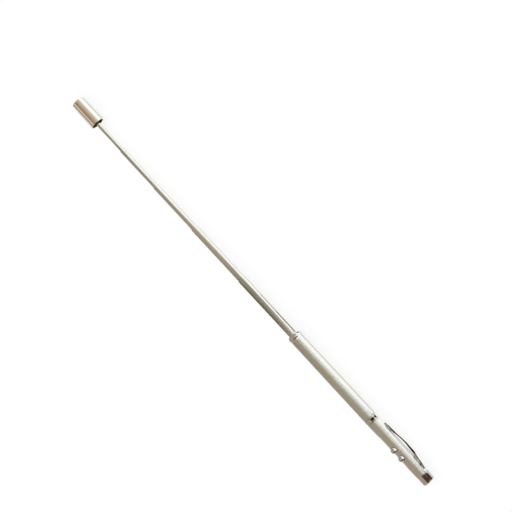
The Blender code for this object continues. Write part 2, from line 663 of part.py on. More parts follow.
# Switches, their plungers, and the ball-topped buttons above them.
switch_base = board_top + ON_BOARD_GAP
switch_top = switch_base + SWITCH_HEIGHT
ball_r = BUTTON_BALL_DIAMETER / 2
flange_top = BUTTON_BALL_HEIGHT - BUTTON_FLANGE_DROP
flange_bottom = flange_top - BUTTON_FLANGE_THICKNESS
stem_bottom = flange_bottom - BUTTON_STEM_LENGTH
ball_low = math.degrees(math.asin(-BUTTON_FLANGE_DROP / ball_r))
for label, x in (("lamp", LAMP_BUTTON_X), ("laser", LASER_BUTTON_X)):
    switch = box(label + "_switch", (SWITCH_WIDTH, SWITCH_WIDTH, SWITCH_HEIGHT),
                 (x, 0.0, switch_base + SWITCH_HEIGHT / 2), STEEL)
    plunger_z = stem_bottom - SEAT_GAP - PLUNGER_LENGTH
    well_bottom = plunger_z - BUTTON_TRAVEL - STOP_GAP
    combine(switch, rod("cut_switch_well", SWITCH_WELL_DIAMETER, switch_top - well_bottom + CUT_OVERRUN,
                        (x, 0.0, well_bottom), None, cutters, upright=True), "DIFFERENCE")
    rod(label + "_switch_plunger", PLUNGER_DIAMETER, PLUNGER_LENGTH, (x, 0.0, plunger_z),
        BLACK_PLASTIC, upright=True)
    outline = [(stem_bottom - BUTTON_BALL_HEIGHT, 0.0),
               (stem_bottom - BUTTON_BALL_HEIGHT, BUTTON_STEM_DIAMETER / 2),
               (flange_bottom - BUTTON_BALL_HEIGHT, BUTTON_STEM_DIAMETER / 2),
               (flange_bottom - BUTTON_BALL_HEIGHT, BUTTON_FLANGE_DIAMETER / 2),
               (flange_top - BUTTON_BALL_HEIGHT, BUTTON_FLANGE_DIAMETER / 2)]
    dome = []
    for i in range(BALL_STEPS + 1):
        a = math.radians(ball_low + (90 - ball_low) * i / BALL_STEPS)
        dome.append((ball_r * math.sin(a), ball_r * math.cos(a)))
    dome[-1] = (ball_r, 0.0)
    turned(label + "_button", outline + dome, CHROME, (x, 0.0, BUTTON_BALL_HEIGHT), SIDES, True)

middle = (LAMP_BUTTON_X + LASER_BUTTON_X) / 2
for label, side in (("lamp", 1), ("laser", -1)):
    box(label + "_resistor", (RESISTOR_LENGTH, RESISTOR_WIDTH, RESISTOR_HEIGHT),
        (middle, side * RESISTOR_OFFSET, board_top + ON_BOARD_GAP + RESISTOR_HEIGHT / 2),
        BLACK_PLASTIC)

# Battery contact, cells and sleeve in front of the carrier.
pip_end = CONTACT_THICKNESS + CONTACT_PIP_HEIGHT
outline = [(0.0, 0.0), (0.0, CONTACT_DIAMETER / 2), (CONTACT_THICKNESS, CONTACT_DIAMETER / 2),
           (CONTACT_THICKNESS, CONTACT_PIP_DIAMETER / 2), (pip_end, CONTACT_PIP_DIAMETER / 4),
           (pip_end, 0.0)]
turned("battery_contact", outline, BRASS, (X_CONTACT, 0.0, 0.0))

cell_r = CELL_DIAMETER / 2
x_sleeve = X_CONTACT + CONTACT_THICKNESS + SEAT_GAP
outline = [(0.0, 0.0), (0.0, CELL_CAP_DIAMETER / 2), (CELL_CAP_HEIGHT, CELL_CAP_DIAMETER / 2),
           (CELL_CAP_HEIGHT, cell_r - CELL_SHOULDER), (CELL_CAP_HEIGHT + CELL_SHOULDER, cell_r),
           (CELL_THICKNESS - CELL_ROUND, cell_r), (CELL_THICKNESS, cell_r - CELL_ROUND),
           (CELL_THICKNESS, 0.0)]
for i in range(CELL_COUNT):
    x_cell = X_CELLS + (CELL_THICKNESS + CELL_GAP) * i
    turned("button_cell_" + str(i + 1), outline, NICKEL, (x_cell, 0.0, 0.0))
sleeve_in = cell_r + CELL_SLEEVE_GAP
sleeve_out = sleeve_in + CELL_SLEEVE_WALL
sleeve_length = X_CELLS_END - x_sleeve
outline = [(0.0, sleeve_out), (sleeve_length, sleeve_out), (sleeve_length, sleeve_in),
           (0.0, sleeve_in)]
turned("battery_sleeve", outline, WHITE_PLASTIC, (x_sleeve, 0.0, 0.0))

# Coupling: its back end screws into the rear barrel, its front end is fixed in the front one.
thread_r = bore_radius(X_COUPLING) - SEAT_GAP
glued_r = FRONT_BORE_DIAMETER / 2 - SEAT_GAP
hole_r = glued_r - COUPLING_WALL
step_x = COUPLING_THREAD_LENGTH - SEAT_GAP
full = COUPLING_THREAD_LENGTH + COUPLING_GLUED_LENGTH
web_end = COUPLING_RECESS_DEPTH + COUPLING_WEB_THICKNESS
outline = [(COUPLING_RECESS_DEPTH, 0.0), (COUPLING_RECESS_DEPTH, hole_r), (0.0, hole_r),
           (0.0, thread_r), (step_x, thread_r), (step_x, glued_r), (full, glued_r),
           (full, hole_r), (web_end, hole_r), (web_end, 0.0)]
turned("barrel_coupling", outline, BRASS, (X_COUPLING, 0.0, 0.0))
spring("battery_spring", BATTERY_SPRING_WIRE, BATTERY_SPRING_NARROW, BATTERY_SPRING_WIDE,
       BATTERY_SPRING_LENGTH, BATTERY_SPRING_TURNS, (X_BATTERY_SPRING, 0.0, 0.0), STEEL)

# Middle ring, seated on the coupling.
bore_r = FRONT_BORE_DIAMETER / 2
ring_r = MIDDLE_RING_DIAMETER / 2
outline = arc(MIDDLE_RING_ROUND, ring_r - MIDDLE_RING_ROUND, MIDDLE_RING_ROUND, 180, 90)
outline += arc(MIDDLE_RING_LENGTH - MIDDLE_RING_ROUND, ring_r - MIDDLE_RING_ROUND,
               MIDDLE_RING_ROUND, 90, 0)
outline += [(MIDDLE_RING_LENGTH, bore_r), (0.0, bore_r)]
turned("middle_ring", outline, CHROME, (X_MIDDLE_RING, 0.0, 0.0))

# Front barrel.
front_length = FRONT_BARREL_LENGTH
front_r = BARREL_FRONT_DIAMETER / 2
outline = arc(FEATHER_ROUND, seam_r - FEATHER_ROUND, FEATHER_ROUND, 180, 90, 2)
outline += arc(front_length - FEATHER_ROUND, front_r - FEATHER_ROUND, FEATHER_ROUND, 90, 0, 2)
outline += [(front_length, bore_r), (0.0, bore_r)]
turned("front_barrel", outline, COATING, (X_FRONT_BARREL, 0.0, 0.0))

# Ferrule, pressed into the front barrel.
guide_r = TUBE_5_DIAMETER / 2 + SLIDE_GAP
swell_r = front_r + FERRULE_SWELL_HEIGHT - FERRULE_SWELL_ROUND
collar_turn = math.degrees(math.asin((front_r - swell_r) / FERRULE_SWELL_ROUND))
nose_turn = math.degrees(math.asin((guide_r + MOUTH_ROUND - swell_r) / FERRULE_SWELL_ROUND))
swell_x = FERRULE_LENGTH - FERRULE_SWELL_ROUND * math.cos(math.radians(nose_turn))
outline = [(-FERRULE_SPIGOT_LENGTH, bore_r - SEAT_GAP), (0.0, bore_r - SEAT_GAP), (0.0, front_r)]
outline += arc(swell_x, swell_r, FERRULE_SWELL_ROUND, 180 - collar_turn, nose_turn, ROUND_STEPS * 3)
outline += [(FERRULE_LENGTH - MOUTH_ROUND, guide_r), (-FERRULE_SPIGOT_LENGTH, guide_r)]
turned("front_ferrule", outline, CHROME, (X_FERRULE, 0.0, 0.0))

# Telescoping tubes and their bushes, from the thickest to the thinnest.
NECK_ZONE = FLARE_LENGTH + BUSH_END_GAP * 2 + BUSH_LENGTH + NECK_SLOPE_LENGTH
SHORTER = NECK_ZONE - MOUTH_STEP + STOP_GAP
tubes = (
    (5, TUBE_5_DIAMETER, TUBE_4_DIAMETER, FRONT_BORE_DIAMETER, X_MOUTH_5),
    (4, TUBE_4_DIAMETER, TUBE_3_DIAMETER, TUBE_5_DIAMETER - TUBE_WALL * 2, X_MOUTH_4),
    (3, TUBE_3_DIAMETER, TUBE_2_DIAMETER, TUBE_4_DIAMETER - TUBE_WALL * 2, X_MOUTH_3),
    (2, TUBE_2_DIAMETER, TUBE_1_DIAMETER, TUBE_3_DIAMETER - TUBE_WALL * 2, X_MOUTH_2),
    (1, TUBE_1_DIAMETER, None, TUBE_2_DIAMETER - TUBE_WALL * 2, X_TUBE_1_FRONT),
)
length = TUBE_5_LENGTH
tube_1_beyond = CAP_SEAT_GAP + TUBE_1_IN_CAP - MOUTH_STEP * 4
for number, diameter, inside, guide, x_mouth in tubes:
    if number < 5:
        length -= SHORTER
    if number == 1:
        length += tube_1_beyond - MOUTH_STEP
    r = diameter / 2
    bore = r - TUBE_WALL
    neck = r - NECK_DEPTH
    neck_start = FLARE_LENGTH
    neck_end = NECK_ZONE - NECK_SLOPE_LENGTH
    outline = [(0.0, r), (neck_start, r), (neck_start, neck), (neck_end, neck), (NECK_ZONE, r)]
    if inside is None:
        outline += [(length, r), (length, bore)]
    else:
        lip = inside / 2 + SLIDE_GAP
        outline += arc(length - MOUTH_ROUND, r - MOUTH_ROUND, MOUTH_ROUND, 90, 0, 2)
        outline += [(length, lip), (length - MOUTH_LIP_LENGTH, lip),
                    (length - MOUTH_LIP_LENGTH - MOUTH_ROUND, bore)]
    outline += [(NECK_ZONE, bore), (neck_end, neck - TUBE_WALL), (0.0, neck - TUBE_WALL)]
    x_tube = x_mouth - length
    turned("tube_" + str(number), outline, TUBE_METAL, (x_tube, 0.0, 0.0))
    bush_out = guide / 2 - SLIDE_GAP
    bush_in = neck + SLIDE_GAP
    outline = [(0.0, bush_out), (BUSH_LENGTH, bush_out), (BUSH_LENGTH, bush_in), (0.0, bush_in)]
    bush = turned("slide_bush_" + str(number), outline, BRASS,
                  (x_tube + neck_start + BUSH_END_GAP, 0.0, 0.0))
    slit_height = bush_out + CUT_OVERRUN
    combine(bush, box("cut_bush_slit", (BUSH_LENGTH + CUT_OVERRUN, BUSH_SLIT, slit_height),
                      (x_tube + neck_start + BUSH_END_GAP + BUSH_LENGTH / 2, 0.0, slit_height / 2),
                      None, cutters), "DIFFERENCE")
    print("tube", number, "length mm", round(length * 1000, 2), "from", round(x_tube * 1000, 2))
    if number == 5:
        out_5 = (X_FERRULE - FERRULE_SPIGOT_LENGTH) - (x_tube + neck_end - BUSH_END_GAP)
        print("tube 5 can still come out by mm", round(out_5 * 1000, 2))
    else:
        out = (mouth_before - MOUTH_LIP_LENGTH - MOUTH_ROUND) - (x_tube + neck_end - BUSH_END_GAP)
        print("tube", number, "can still come out by mm", round(out * 1000, 2))
    mouth_before = x_mouth

# Nib, which holds the refill in the thinnest tube.
tube_r = TUBE_1_DIAMETER / 2
x_nib = X_TUBE_1_FRONT - NIB_GRIP_LENGTH
grip_r = tube_r + SEAT_GAP
refill_hole_r = REFILL_DIAMETER / 2 + SLIDE_GAP
nib_r = NIB_DIAMETER / 2
outline = arc(FEATHER_ROUND, nib_r - FEATHER_ROUND, FEATHER_ROUND, 180, 90, 2)
outline += [(NIB_STRAIGHT_LENGTH, nib_r), (NIB_LENGTH, NIB_TIP_DIAMETER / 2),
            (NIB_LENGTH, refill_hole_r), (NIB_GRIP_LENGTH + SEAT_GAP, refill_hole_r),
            (NIB_GRIP_LENGTH + SEAT_GAP, grip_r), (0.0, grip_r)]
turned("nib", outline, CHROME, (x_nib, 0.0, 0.0))

# Refill: ink tube, turned writing tip and ball.
x_refill_end = x_nib + NIB_LENGTH - REFILL_TIP_NECK_LENGTH
x_refill = x_refill_end - REFILL_LENGTH
refill_r = REFILL_DIAMETER / 2
ink_r = refill_r - REFILL_WALL
plug_r = ink_r - SEAT_GAP
outline = [(0.0, refill_r), (REFILL_LENGTH, refill_r), (REFILL_LENGTH, ink_r), (0.0, ink_r)]
turned("refill_tube", outline, WHITE_PLASTIC, (x_refill, 0.0, 0.0))
tip_end_r = REFILL_TIP_END_DIAMETER / 2
ball_rad = REFILL_BALL_DIAMETER / 2
socket_r = ball_rad + REFILL_BALL_GAP
shown = REFILL_BALL_DIAMETER * REFILL_BALL_SHOWN_SHARE
ball_centre = REFILL_TIP_LENGTH + shown - ball_rad
socket_floor = ball_centre - socket_r
mouth_r = math.sqrt(socket_r ** 2 - (REFILL_TIP_LENGTH - ball_centre) ** 2)
outline = [(-REFILL_PLUG_LENGTH, 0.0), (-REFILL_PLUG_LENGTH, plug_r), (SEAT_GAP, plug_r),
           (SEAT_GAP, refill_r), (REFILL_TIP_NECK_LENGTH, refill_r),
           (REFILL_TIP_LENGTH, tip_end_r), (REFILL_TIP_LENGTH, mouth_r), (ball_centre, socket_r),
           (socket_floor, socket_r), (socket_floor, 0.0)]
turned("refill_tip", outline, BRASS, (x_refill_end, 0.0, 0.0), SIDES)
bpy.ops.mesh.primitive_uv_sphere_add(segments=SMALL_SIDES, ring_count=8, radius=ball_rad)
ball = bpy.context.active_object
ball.name = "refill_ball"
keep(ball, STEEL)
ball.location = (x_refill_end + ball_centre, 0.0, 0.0)

# Pen cap and the liner in it that grips the nib.
mouth_out = CAP_MOUTH_DIAMETER / 2
end_out = CAP_END_DIAMETER / 2
liner_r = CAP_LINER_DIAMETER / 2
liner_end = CAP_BORE_DEPTH + CAP_LINER_LENGTH
deep = CAP_LENGTH - CAP_END_WALL
outline = [(deep, 0.0), (deep, CAP_TIP_BORE_DIAMETER / 2), (liner_end, CAP_TIP_BORE_DIAMETER / 2),
           (liner_end, liner_r), (CAP_BORE_DEPTH, liner_r), (CAP_BORE_DEPTH, CAP_BORE_DIAMETER / 2),
           (CAP_MOUTH_ROUND, CAP_BORE_DIAMETER / 2), (0.0, CAP_BORE_DIAMETER / 2 + CAP_MOUTH_ROUND)]
outline += arc(CAP_MOUTH_ROUND, mouth_out - CAP_MOUTH_ROUND, CAP_MOUTH_ROUND, 180, 90, 2)
outline += arc(CAP_LENGTH - CAP_END_ROUND, end_out - CAP_END_ROUND, CAP_END_ROUND, 90, 0)
outline += [(CAP_LENGTH, 0.0)]
turned("cap_shell", outline, CHROME, (X_CAP, 0.0, 0.0))
liner_hole = NIB_DIAMETER / 2 + SLIDE_GAP
liner_length = CAP_LINER_LENGTH - SEAT_GAP
outline = [(0.0, liner_r - SEAT_GAP), (liner_length, liner_r - SEAT_GAP), (liner_length, liner_hole),
           (CAP_LINER_LEAD_IN, liner_hole), (0.0, liner_hole + CAP_LINER_LEAD_IN)]
turned("cap_liner", outline, BLACK_PLASTIC, (X_CAP + CAP_BORE_DEPTH, 0.0, 0.0))

finish()
print("clip pivot", [round(c * 1000, 3) for c in clip.location])
print("whole length mm", round((X_CAP + CAP_LENGTH) * 1000, 2))
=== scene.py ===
"""Looks of the telescopic laser pointer pen: fine shapes, finishes, light and camera.

Everything is in metres in the model's own frame: +X along the pen towards its cap, +Z out
through the push buttons, and the clip low on the -Y side.
"""

import json
import math

import bmesh
import bpy
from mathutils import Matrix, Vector


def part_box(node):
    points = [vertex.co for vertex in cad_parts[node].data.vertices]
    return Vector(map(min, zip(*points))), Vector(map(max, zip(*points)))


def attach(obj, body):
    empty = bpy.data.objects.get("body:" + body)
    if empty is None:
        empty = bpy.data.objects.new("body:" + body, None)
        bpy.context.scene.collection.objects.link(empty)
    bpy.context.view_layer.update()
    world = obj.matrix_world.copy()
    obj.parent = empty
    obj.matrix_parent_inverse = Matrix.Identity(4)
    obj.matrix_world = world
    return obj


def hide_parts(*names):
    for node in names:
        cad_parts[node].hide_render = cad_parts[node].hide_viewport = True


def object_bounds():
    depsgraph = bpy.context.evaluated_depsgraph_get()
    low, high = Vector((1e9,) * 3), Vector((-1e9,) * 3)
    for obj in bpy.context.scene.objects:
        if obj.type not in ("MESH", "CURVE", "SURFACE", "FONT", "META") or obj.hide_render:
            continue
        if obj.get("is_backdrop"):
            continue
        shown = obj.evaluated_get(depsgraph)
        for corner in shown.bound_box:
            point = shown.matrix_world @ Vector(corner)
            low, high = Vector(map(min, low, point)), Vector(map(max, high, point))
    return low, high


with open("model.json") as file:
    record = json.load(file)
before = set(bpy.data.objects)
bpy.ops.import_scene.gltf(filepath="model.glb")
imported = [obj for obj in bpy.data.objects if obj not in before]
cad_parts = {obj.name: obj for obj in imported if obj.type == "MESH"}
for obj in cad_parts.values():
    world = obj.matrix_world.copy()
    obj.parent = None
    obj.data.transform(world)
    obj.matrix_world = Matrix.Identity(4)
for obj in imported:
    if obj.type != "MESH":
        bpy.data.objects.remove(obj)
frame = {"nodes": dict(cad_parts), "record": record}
cad_low, cad_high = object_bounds()
nodes = frame["nodes"]

# Facets and steps of the fine shapes.
SIDES = 128
TUBE_SIDES = 96
SMALL_SIDES = 64
LEAD_SIDES = 16
ARC_STEPS = 8
EDGE_STEPS = 4
LIP_STEPS = 6
CAP_MOUTH_STEPS = 5
LENS_STEPS = 16
SWELL_STEPS = 32
BALL_STEPS = 28
LAMP_STEPS = 14
WRITING_BALL_STEPS = 24
ROW_LENGTH = 0.0024
TUBE_ROW_LENGTH = 0.0048
GUARD_LENGTH = 0.00004
GUARDED_RUN = 0.00016
SHARP_ANGLE = math.radians(30)
CUT_OVERRUN = 0.0006
WELD_SIZE = 0.000001

# Roundings and clearances of the turned pieces.
EDGE_ROUND = 0.00012
EDGE_CHAMFER = 0.00006
SEAT_GAP = 0.0001
SLIDE_GAP = 0.00004
TAIL_ROUND = 0.00075
MOUTH_ROUND = 0.00012
WALL = 0.00015

# Tail cap.
TAIL_LENGTH = 0.00645
TAIL_FACE_WALL = 0.001
LASER_OFFSET = 0.00185
LASER_WINDOW = 0.0022
LASER_BORE = 0.0037
LAMP_OFFSET = 0.00205
LAMP_WINDOW = 0.0027
LAMP_BORE = 0.0033
WINDOW_BEVEL = 0.00018

# Barrel halves and the ring between them.
REAR_WALL = 0.0003
FRONT_BORE = 0.0081
BARREL_FRONT_DIAMETER = 0.0089
BARREL_SEAM_DIAMETER = 0.0093
BARREL_TAIL_DIAMETER = 0.0087
RING_ROUND = 0.0006

# Front ferrule: a collar that swells to a round bead, with its nose round the tube.
SPIGOT_LENGTH = 0.004
SWELL_HEIGHT = 0.00032
SWELL_ROUND = 0.0023

# Tubes: the necked inner end and the rolled mouth.
NECK_DEPTH = 0.00015
NECK_SLOPE = 0.0002
FLARE_LENGTH = 0.0005
NECK_END = 0.0033
LIP_LENGTH = 0.0007

# Writing end.
NIB_GRIP_LENGTH = 0.0018
NIB_STRAIGHT_LENGTH = 0.0034
NIB_TIP_DIAMETER = 0.003
TIP_NECK_LENGTH = 0.0012
TIP_END_DIAMETER = 0.00095
BALL_GAP = 0.00003
REFILL_WALL = 0.00018

# Pen cap.
CAP_BORE = 0.0086
CAP_BORE_DEPTH = 0.0092
CAP_LINER_BORE = 0.0066
CAP_LINER_END = 0.0134
CAP_TIP_BORE = 0.0038
CAP_END_WALL = 0.0015
CAP_END_DIAMETER = 0.0093
CAP_MOUTH_ROUND = 0.00015
CAP_END_ROUND = 0.0005
LINER_LEAD_IN = 0.0003
BORE_FINISH_SHARE = 0.75

# Push buttons.
BUTTON_BALL = 0.0043
BUTTON_HEIGHT = 0.0047
BUTTON_HOLE_GAP = 0.0001
FLANGE_DROP = 0.0016
FLANGE_THICKNESS = 0.0004
STEM_DIAMETER = 0.0018

# Clip, from the same shares as its solid, with finer rows.
CLIP_ANGLE = math.radians(120.2)
CLIP_RISE = 0.0028
CLIP_FOOT_WIDTH = 0.0056
CLIP_THICKNESS = 0.0004
CLIP_TOP_RADIUS = 0.0037
CLIP_CORNER_ROUND = 0.00035
CLIP_FLARE_SHARE = 0.97
CLIP_LIFT = 0.00205
CLIP_SINK = 0.00012
CLIP_SEAT_GAP = 0.00006
CLIP_ROWS = 132
CLIP_TOP_COLUMNS = 7
CLIP_CORNER_COLUMNS = 5
CLIP_WALL_COLUMNS = 3
CLIP_ROW_CROWDING = 0.5
CLIP_EDGE_EASE = 0.00006
CLIP_EDGE_SEGMENTS = 2
CLIP_EDGE_ANGLE = math.radians(60)
CLIP_LINE_SHARES = (
    (0.0, 0.12), (0.006, 0.24), (0.018, 0.35), (0.04, 0.47), (0.068, 0.58), (0.118, 0.7),
    (0.183, 0.79), (0.233, 0.87), (0.283, 0.93), (0.366, 0.98), (0.448, 0.997), (0.531, 1.0),
    (0.613, 0.91), (0.68, 0.81), (0.746, 0.72), (0.861, 0.635), (0.93, 0.58), (0.974, 0.51),
    (0.99, 0.45), (1.0, 0.36),
)
CLIP_WIDTH_SHARES = (
    (0.0, 0.8), (0.01, 0.93), (0.03, 1.0), (0.2, 1.0), (0.25, 0.95), (0.3, 0.74), (0.4, 0.7),
    (0.8, 0.68), (0.95, 0.64), (0.985, 0.52), (1.0, 0.34),
)
CLIP_LIFT_SHARES = (
    (0.0, 0.0), (0.2, 0.0), (0.245, 0.0), (0.262, 0.25), (0.285, 0.68), (0.32, 0.74), (0.366, 0.77),
    (0.448, 0.89), (0.531, 1.0), (0.613, 0.93), (0.7, 0.78), (0.746, 0.64), (0.8, 0.42),
    (0.861, 0.03), (0.91, 0.06), (0.974, 0.24), (1.0, 0.3),
)
TAB_START_SHARE = 0.11
TAB_LENGTH = 0.0022
TAB_THICKNESS = 0.0004
TAB_OFFSET = 0.0017
TAB_REACH = 0.0011
TAB_GAP = 0.00015
TAB_ROOT_SHARE = 0.75

# Laser unit and lamp, seen through the two windows.
NUT_HOLE = 0.0016
NUT_SLOT_DEPTH = 0.00048
NUT_SLOT_LENGTH = 0.0033
NUT_SLOT_WIDTH = 0.0004
LENS_RIM = 0.0005
LAMP_RIM_DIAMETER = 0.0032
LAMP_RIM_LENGTH = 0.0008
LAMP_DIAMETER = 0.003
LAMP_LENGTH = 0.0053
LEAD_DIAMETER = 0.0004
LEAD_SPACING = 0.0012
LEAD_HEIGHT = -0.00065

# Noise of the finishes.
NOISE_DETAIL = 3.0
NOISE_SPAN = (0.3, 0.7)
SMEAR_SCALE = 2.7
SMEAR_DETAIL = 5.0
GRAIN_DETAIL = 2.0
ALONG = (0.03, 1.0, 1.0)
ROUND_ABOUT = (1.0, 0.06, 0.06)
EVEN = (1.0, 1.0, 1.0)

# Camera, fitted to the photograph.
CAMERA_PLACE = (0.10153, -0.56525, 0.58190)
CAMERA_TURN_DEGREES = (-29.4752, 33.2363, -144.1278)
FOCAL_PIXELS = 1250
IMAGE_PIXELS = 512
SENSOR_WIDTH = 36.0
CLIP_NEAR = 0.01

# Floor and light. Cards that lie on the floor: name, ends along the pen, ends across it, colour.
FLOOR_GAP = 0.00006
FLOOR_HALF_WIDTH = 4.0
FLOOR_WHITE = 0.96
FLOOR_GLOW = 0.75
CARD_LIFT = 0.00002
# tail_shade and long_shade are painted shadow: pale grey sheets beside the pen where its contact
# shade on the floor lies, seen only in the metal's reflections.
CARDS = (
    ("beige_card", (-0.05, 0.305), (0.0045, 0.0095), (0.20, 0.185, 0.155)),
    ("beige_tail_card", (-0.05, 0.014), (0.0095, 0.3), (0.22, 0.20, 0.165)),
    ("beige_far_card", (0.04, 0.305), (0.0095, 0.3), (0.22, 0.20, 0.165)),
    ("cap_card", (0.312, 0.36), (0.0045, 0.3), (0.55, 0.53, 0.49)),
    ("tail_card", (-0.08, 0.0044), (-0.5, -0.0105), (0.05, 0.025, 0.015)),
    ("tail_shade", (-0.08, 0.0064), (-0.0105, -0.003), (0.60, 0.57, 0.53)),
    ("ring_card", (0.0516, 0.0553), (-0.1, -0.0085), (0.03, 0.02, 0.015)),
    ("long_shade", (0.0555, 0.36), (-0.0072, -0.003), (0.74, 0.74, 0.73)),
    ("tube_card", (0.1285, 0.147), (-0.0135, -0.006), (0.035, 0.035, 0.028)),
    ("tube_shade", (0.147, 0.162), (-0.0125, -0.0064), (0.4, 0.43, 0.41)),
)
# Dark strips that stand off the clip's near wall: ends along the pen, height over the clip's
# middle plane, lower edge's distance from the pen's axis at both ends, and the upper edge's.
FLAGS = (
    ("clip_flag", (0.0196, 0.0446), 0.0024, (0.0052, 0.0052), 0.0082),
    ("neck_flag", (0.0125, 0.0196), 0.003, (0.005, 0.0057), 0.0074),
    ("foot_flag", (0.0094, 0.0125), 0.0031, (0.00425, 0.005), 0.0068),
)
FLAG_COLOUR = (0.02, 0.022, 0.02)
SUN_POWER = 0.42
SUN_SPREAD_DEGREES = 60
SUN_TURN_DEGREES = (38, 12, 0)

# Surroundings that the bright metal mirrors: bands by angle about the pen's axis, in degrees
# from straight up towards -Y, as the barrel, the tubes and the cap mirror them.
FULL_TURN = 360
HALF_TURN = 180
WHITE = (1.0, 1.0, 1.0)
BANDS_DARK_SIDE = (
    (-180, WHITE), (-92, (0.36, 0.30, 0.23)), (-88, (0.36, 0.29, 0.225)),
    (-60, (0.35, 0.285, 0.215)), (-30, (0.35, 0.28, 0.21)),
)
BANDS_BARREL = BANDS_DARK_SIDE + (
    (-6, (0.34, 0.28, 0.21)), (11, (0.36, 0.325, 0.25)), (23, (0.46, 0.44, 0.355)),
    (36, (0.65, 0.63, 0.55)), (47, (0.86, 0.85, 0.80)), (59, WHITE), (180, WHITE),
)
BANDS_TUBES = BANDS_DARK_SIDE + (
    (8, (0.32, 0.27, 0.20)), (27, (0.34, 0.315, 0.235)), (40, (0.50, 0.48, 0.39)),
    (51, (0.84, 0.83, 0.77)), (61, WHITE), (180, WHITE),
)
BANDS_TO_CAP = (
    (-180, WHITE), (-92, (0.60, 0.58, 0.57)), (-80, (0.59, 0.56, 0.53)), (-60, (0.54, 0.49, 0.43)),
    (-54, (0.36, 0.31, 0.26)), (-44, (0.15, 0.115, 0.082)), (-38, (0.31, 0.25, 0.18)),
    (-31, (0.90, 0.74, 0.55)), (-22, (0.80, 0.63, 0.44)), (-13, (0.35, 0.26, 0.14)),
    (2, (0.29, 0.205, 0.09)), (29, (0.42, 0.315, 0.20)), (59, (0.55, 0.475, 0.385)),
    (80, (0.64, 0.585, 0.51)), (89, WHITE), (180, WHITE),
)
# Side shares, which are the direction's part along the pen, where one set of bands turns into
# the next: barrel to tubes, tubes to cap, and back again past the cap. Towards the tail the
# barrel's bands lag by some degrees.
TUBES_BLEND = (0.034, 0.044)
CAP_BLEND = (0.25, 0.262)
CAP_BLEND_BACK = (0.31, 0.33)
TAIL_BLEND = (-0.112, -0.085)
TAIL_LAG_DEGREES = 20
# Dark parts: lowest and highest side share, lowest and highest angle, soft edges, colour.
DARK_PARTS = (
    ((-0.133, -0.1135), (3, 97), (0.002, 1.5), (0.055, 0.023, 0.013)),
    ((-0.075, -0.048), (22, 97), (0.004, 2.0), (0.02, 0.01, 0.006)),
    ((0.046, 0.088), (-25, 68), (0.012, 16.0), (0.2, 0.192, 0.132)),
    ((0.046, 0.088), (-82, -34), (0.012, 10.0), (0.075, 0.07, 0.042)),
    ((0.1, 0.145), (-20, 62), (0.012, 18.0), (0.38, 0.32, 0.22)),
    ((0.2, 0.247), (-75, 26), (0.01, 14.0), (0.27, 0.262, 0.205)),
    ((0.231, 0.25), (-75, 20), (0.006, 12.0), (0.19, 0.19, 0.16)),
    ((0.42, 2.0), (40, 140), (0.06, 8.0), (0.26, 0.23, 0.17)),
    ((-2.0, -0.45), (-10, 120), (0.06, 6.0), (0.05, 0.045, 0.034)),
)


def span(node):
    low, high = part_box(node)
    return low.x, high.x


def width(node):
    low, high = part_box(node)
    return high.z - low.z


def linear(x, x0, y0, x1, y1):
    return y0 + (y1 - y0) * (x - x0) / (x1 - x0)


def along(table, u):
    """Smooth curve through a table of (place, value) shares."""
    last = len(table) - 1
    k = 0
    while k < last - 1 and u > table[k + 1][0]:
        k += 1
    slopes = []
    for i in (k, k + 1):
        lo = max(i - 1, 0)
        hi = min(i + 1, last)
        slopes.append((table[hi][1] - table[lo][1]) / (table[hi][0] - table[lo][0]))
    run = table[k + 1][0] - table[k][0]
    t = (u - table[k][0]) / run
    return ((1 + 2 * t) * (1 - t) ** 2 * table[k][1] + t * (1 - t) ** 2 * run * slopes[0]
            + t * t * (3 - 2 * t) * table[k + 1][1] + t * t * (t - 1) * run * slopes[1])


def arc(x, r, radius, start, end, steps=ARC_STEPS):
    """Points on an arc round (x, r), angles in degrees from +x towards +r."""
    points = []
    for i in range(steps + 1):
        a = math.radians(start + (end - start) * i / steps)
        points.append((x + radius * math.cos(a), r + radius * math.sin(a)))
    return points


# Node helpers for the finishes.


def add_node(tree, kind, **values):
    """New node with its plain attributes set, and its inputs where the name is one."""
    made = tree.nodes.new(kind)
    for key, value in values.items():
        if hasattr(made, key):
            setattr(made, key, value)
        else:
            made.inputs[key.replace("_", " ")].default_value = value
    return made


def noise(tree, place, scale, stretch=EVEN, detail=NOISE_DETAIL):
    mapping = add_node(tree, "ShaderNodeMapping")
    mapping.inputs["Scale"].default_value = stretch
    tree.links.new(place, mapping.inputs["Vector"])
    made = add_node(tree, "ShaderNodeTexNoise", Scale=scale, Detail=detail)
    tree.links.new(mapping.outputs["Vector"], made.inputs["Vector"])
    return made.outputs["Fac"]


def spread(tree, source, low, high):
    """Map the middle of a noise to the range from low to high."""
    made = add_node(tree, "ShaderNodeMapRange")
    made.inputs["From Min"].default_value = NOISE_SPAN[0]
    made.inputs["From Max"].default_value = NOISE_SPAN[1]
    made.inputs["To Min"].default_value = low
    made.inputs["To Max"].default_value = high
    tree.links.new(source, made.inputs["Value"])
    return made.outputs["Result"]


def mix_colours(tree, factor, first, second):
    """Mix of two colours, each a plain one or a node's output."""
    made = add_node(tree, "ShaderNodeMix", data_type="RGBA")
    tree.links.new(factor, made.inputs["Factor"])
    sockets = [s for s in made.inputs if s.type == "RGBA"]
    for socket, value in zip(sockets, (first, second)):
        if isinstance(value, tuple):
            socket.default_value = (*value, 1.0)
        else:
            tree.links.new(value, socket)
    return [s for s in made.outputs if s.type == "RGBA"][0]


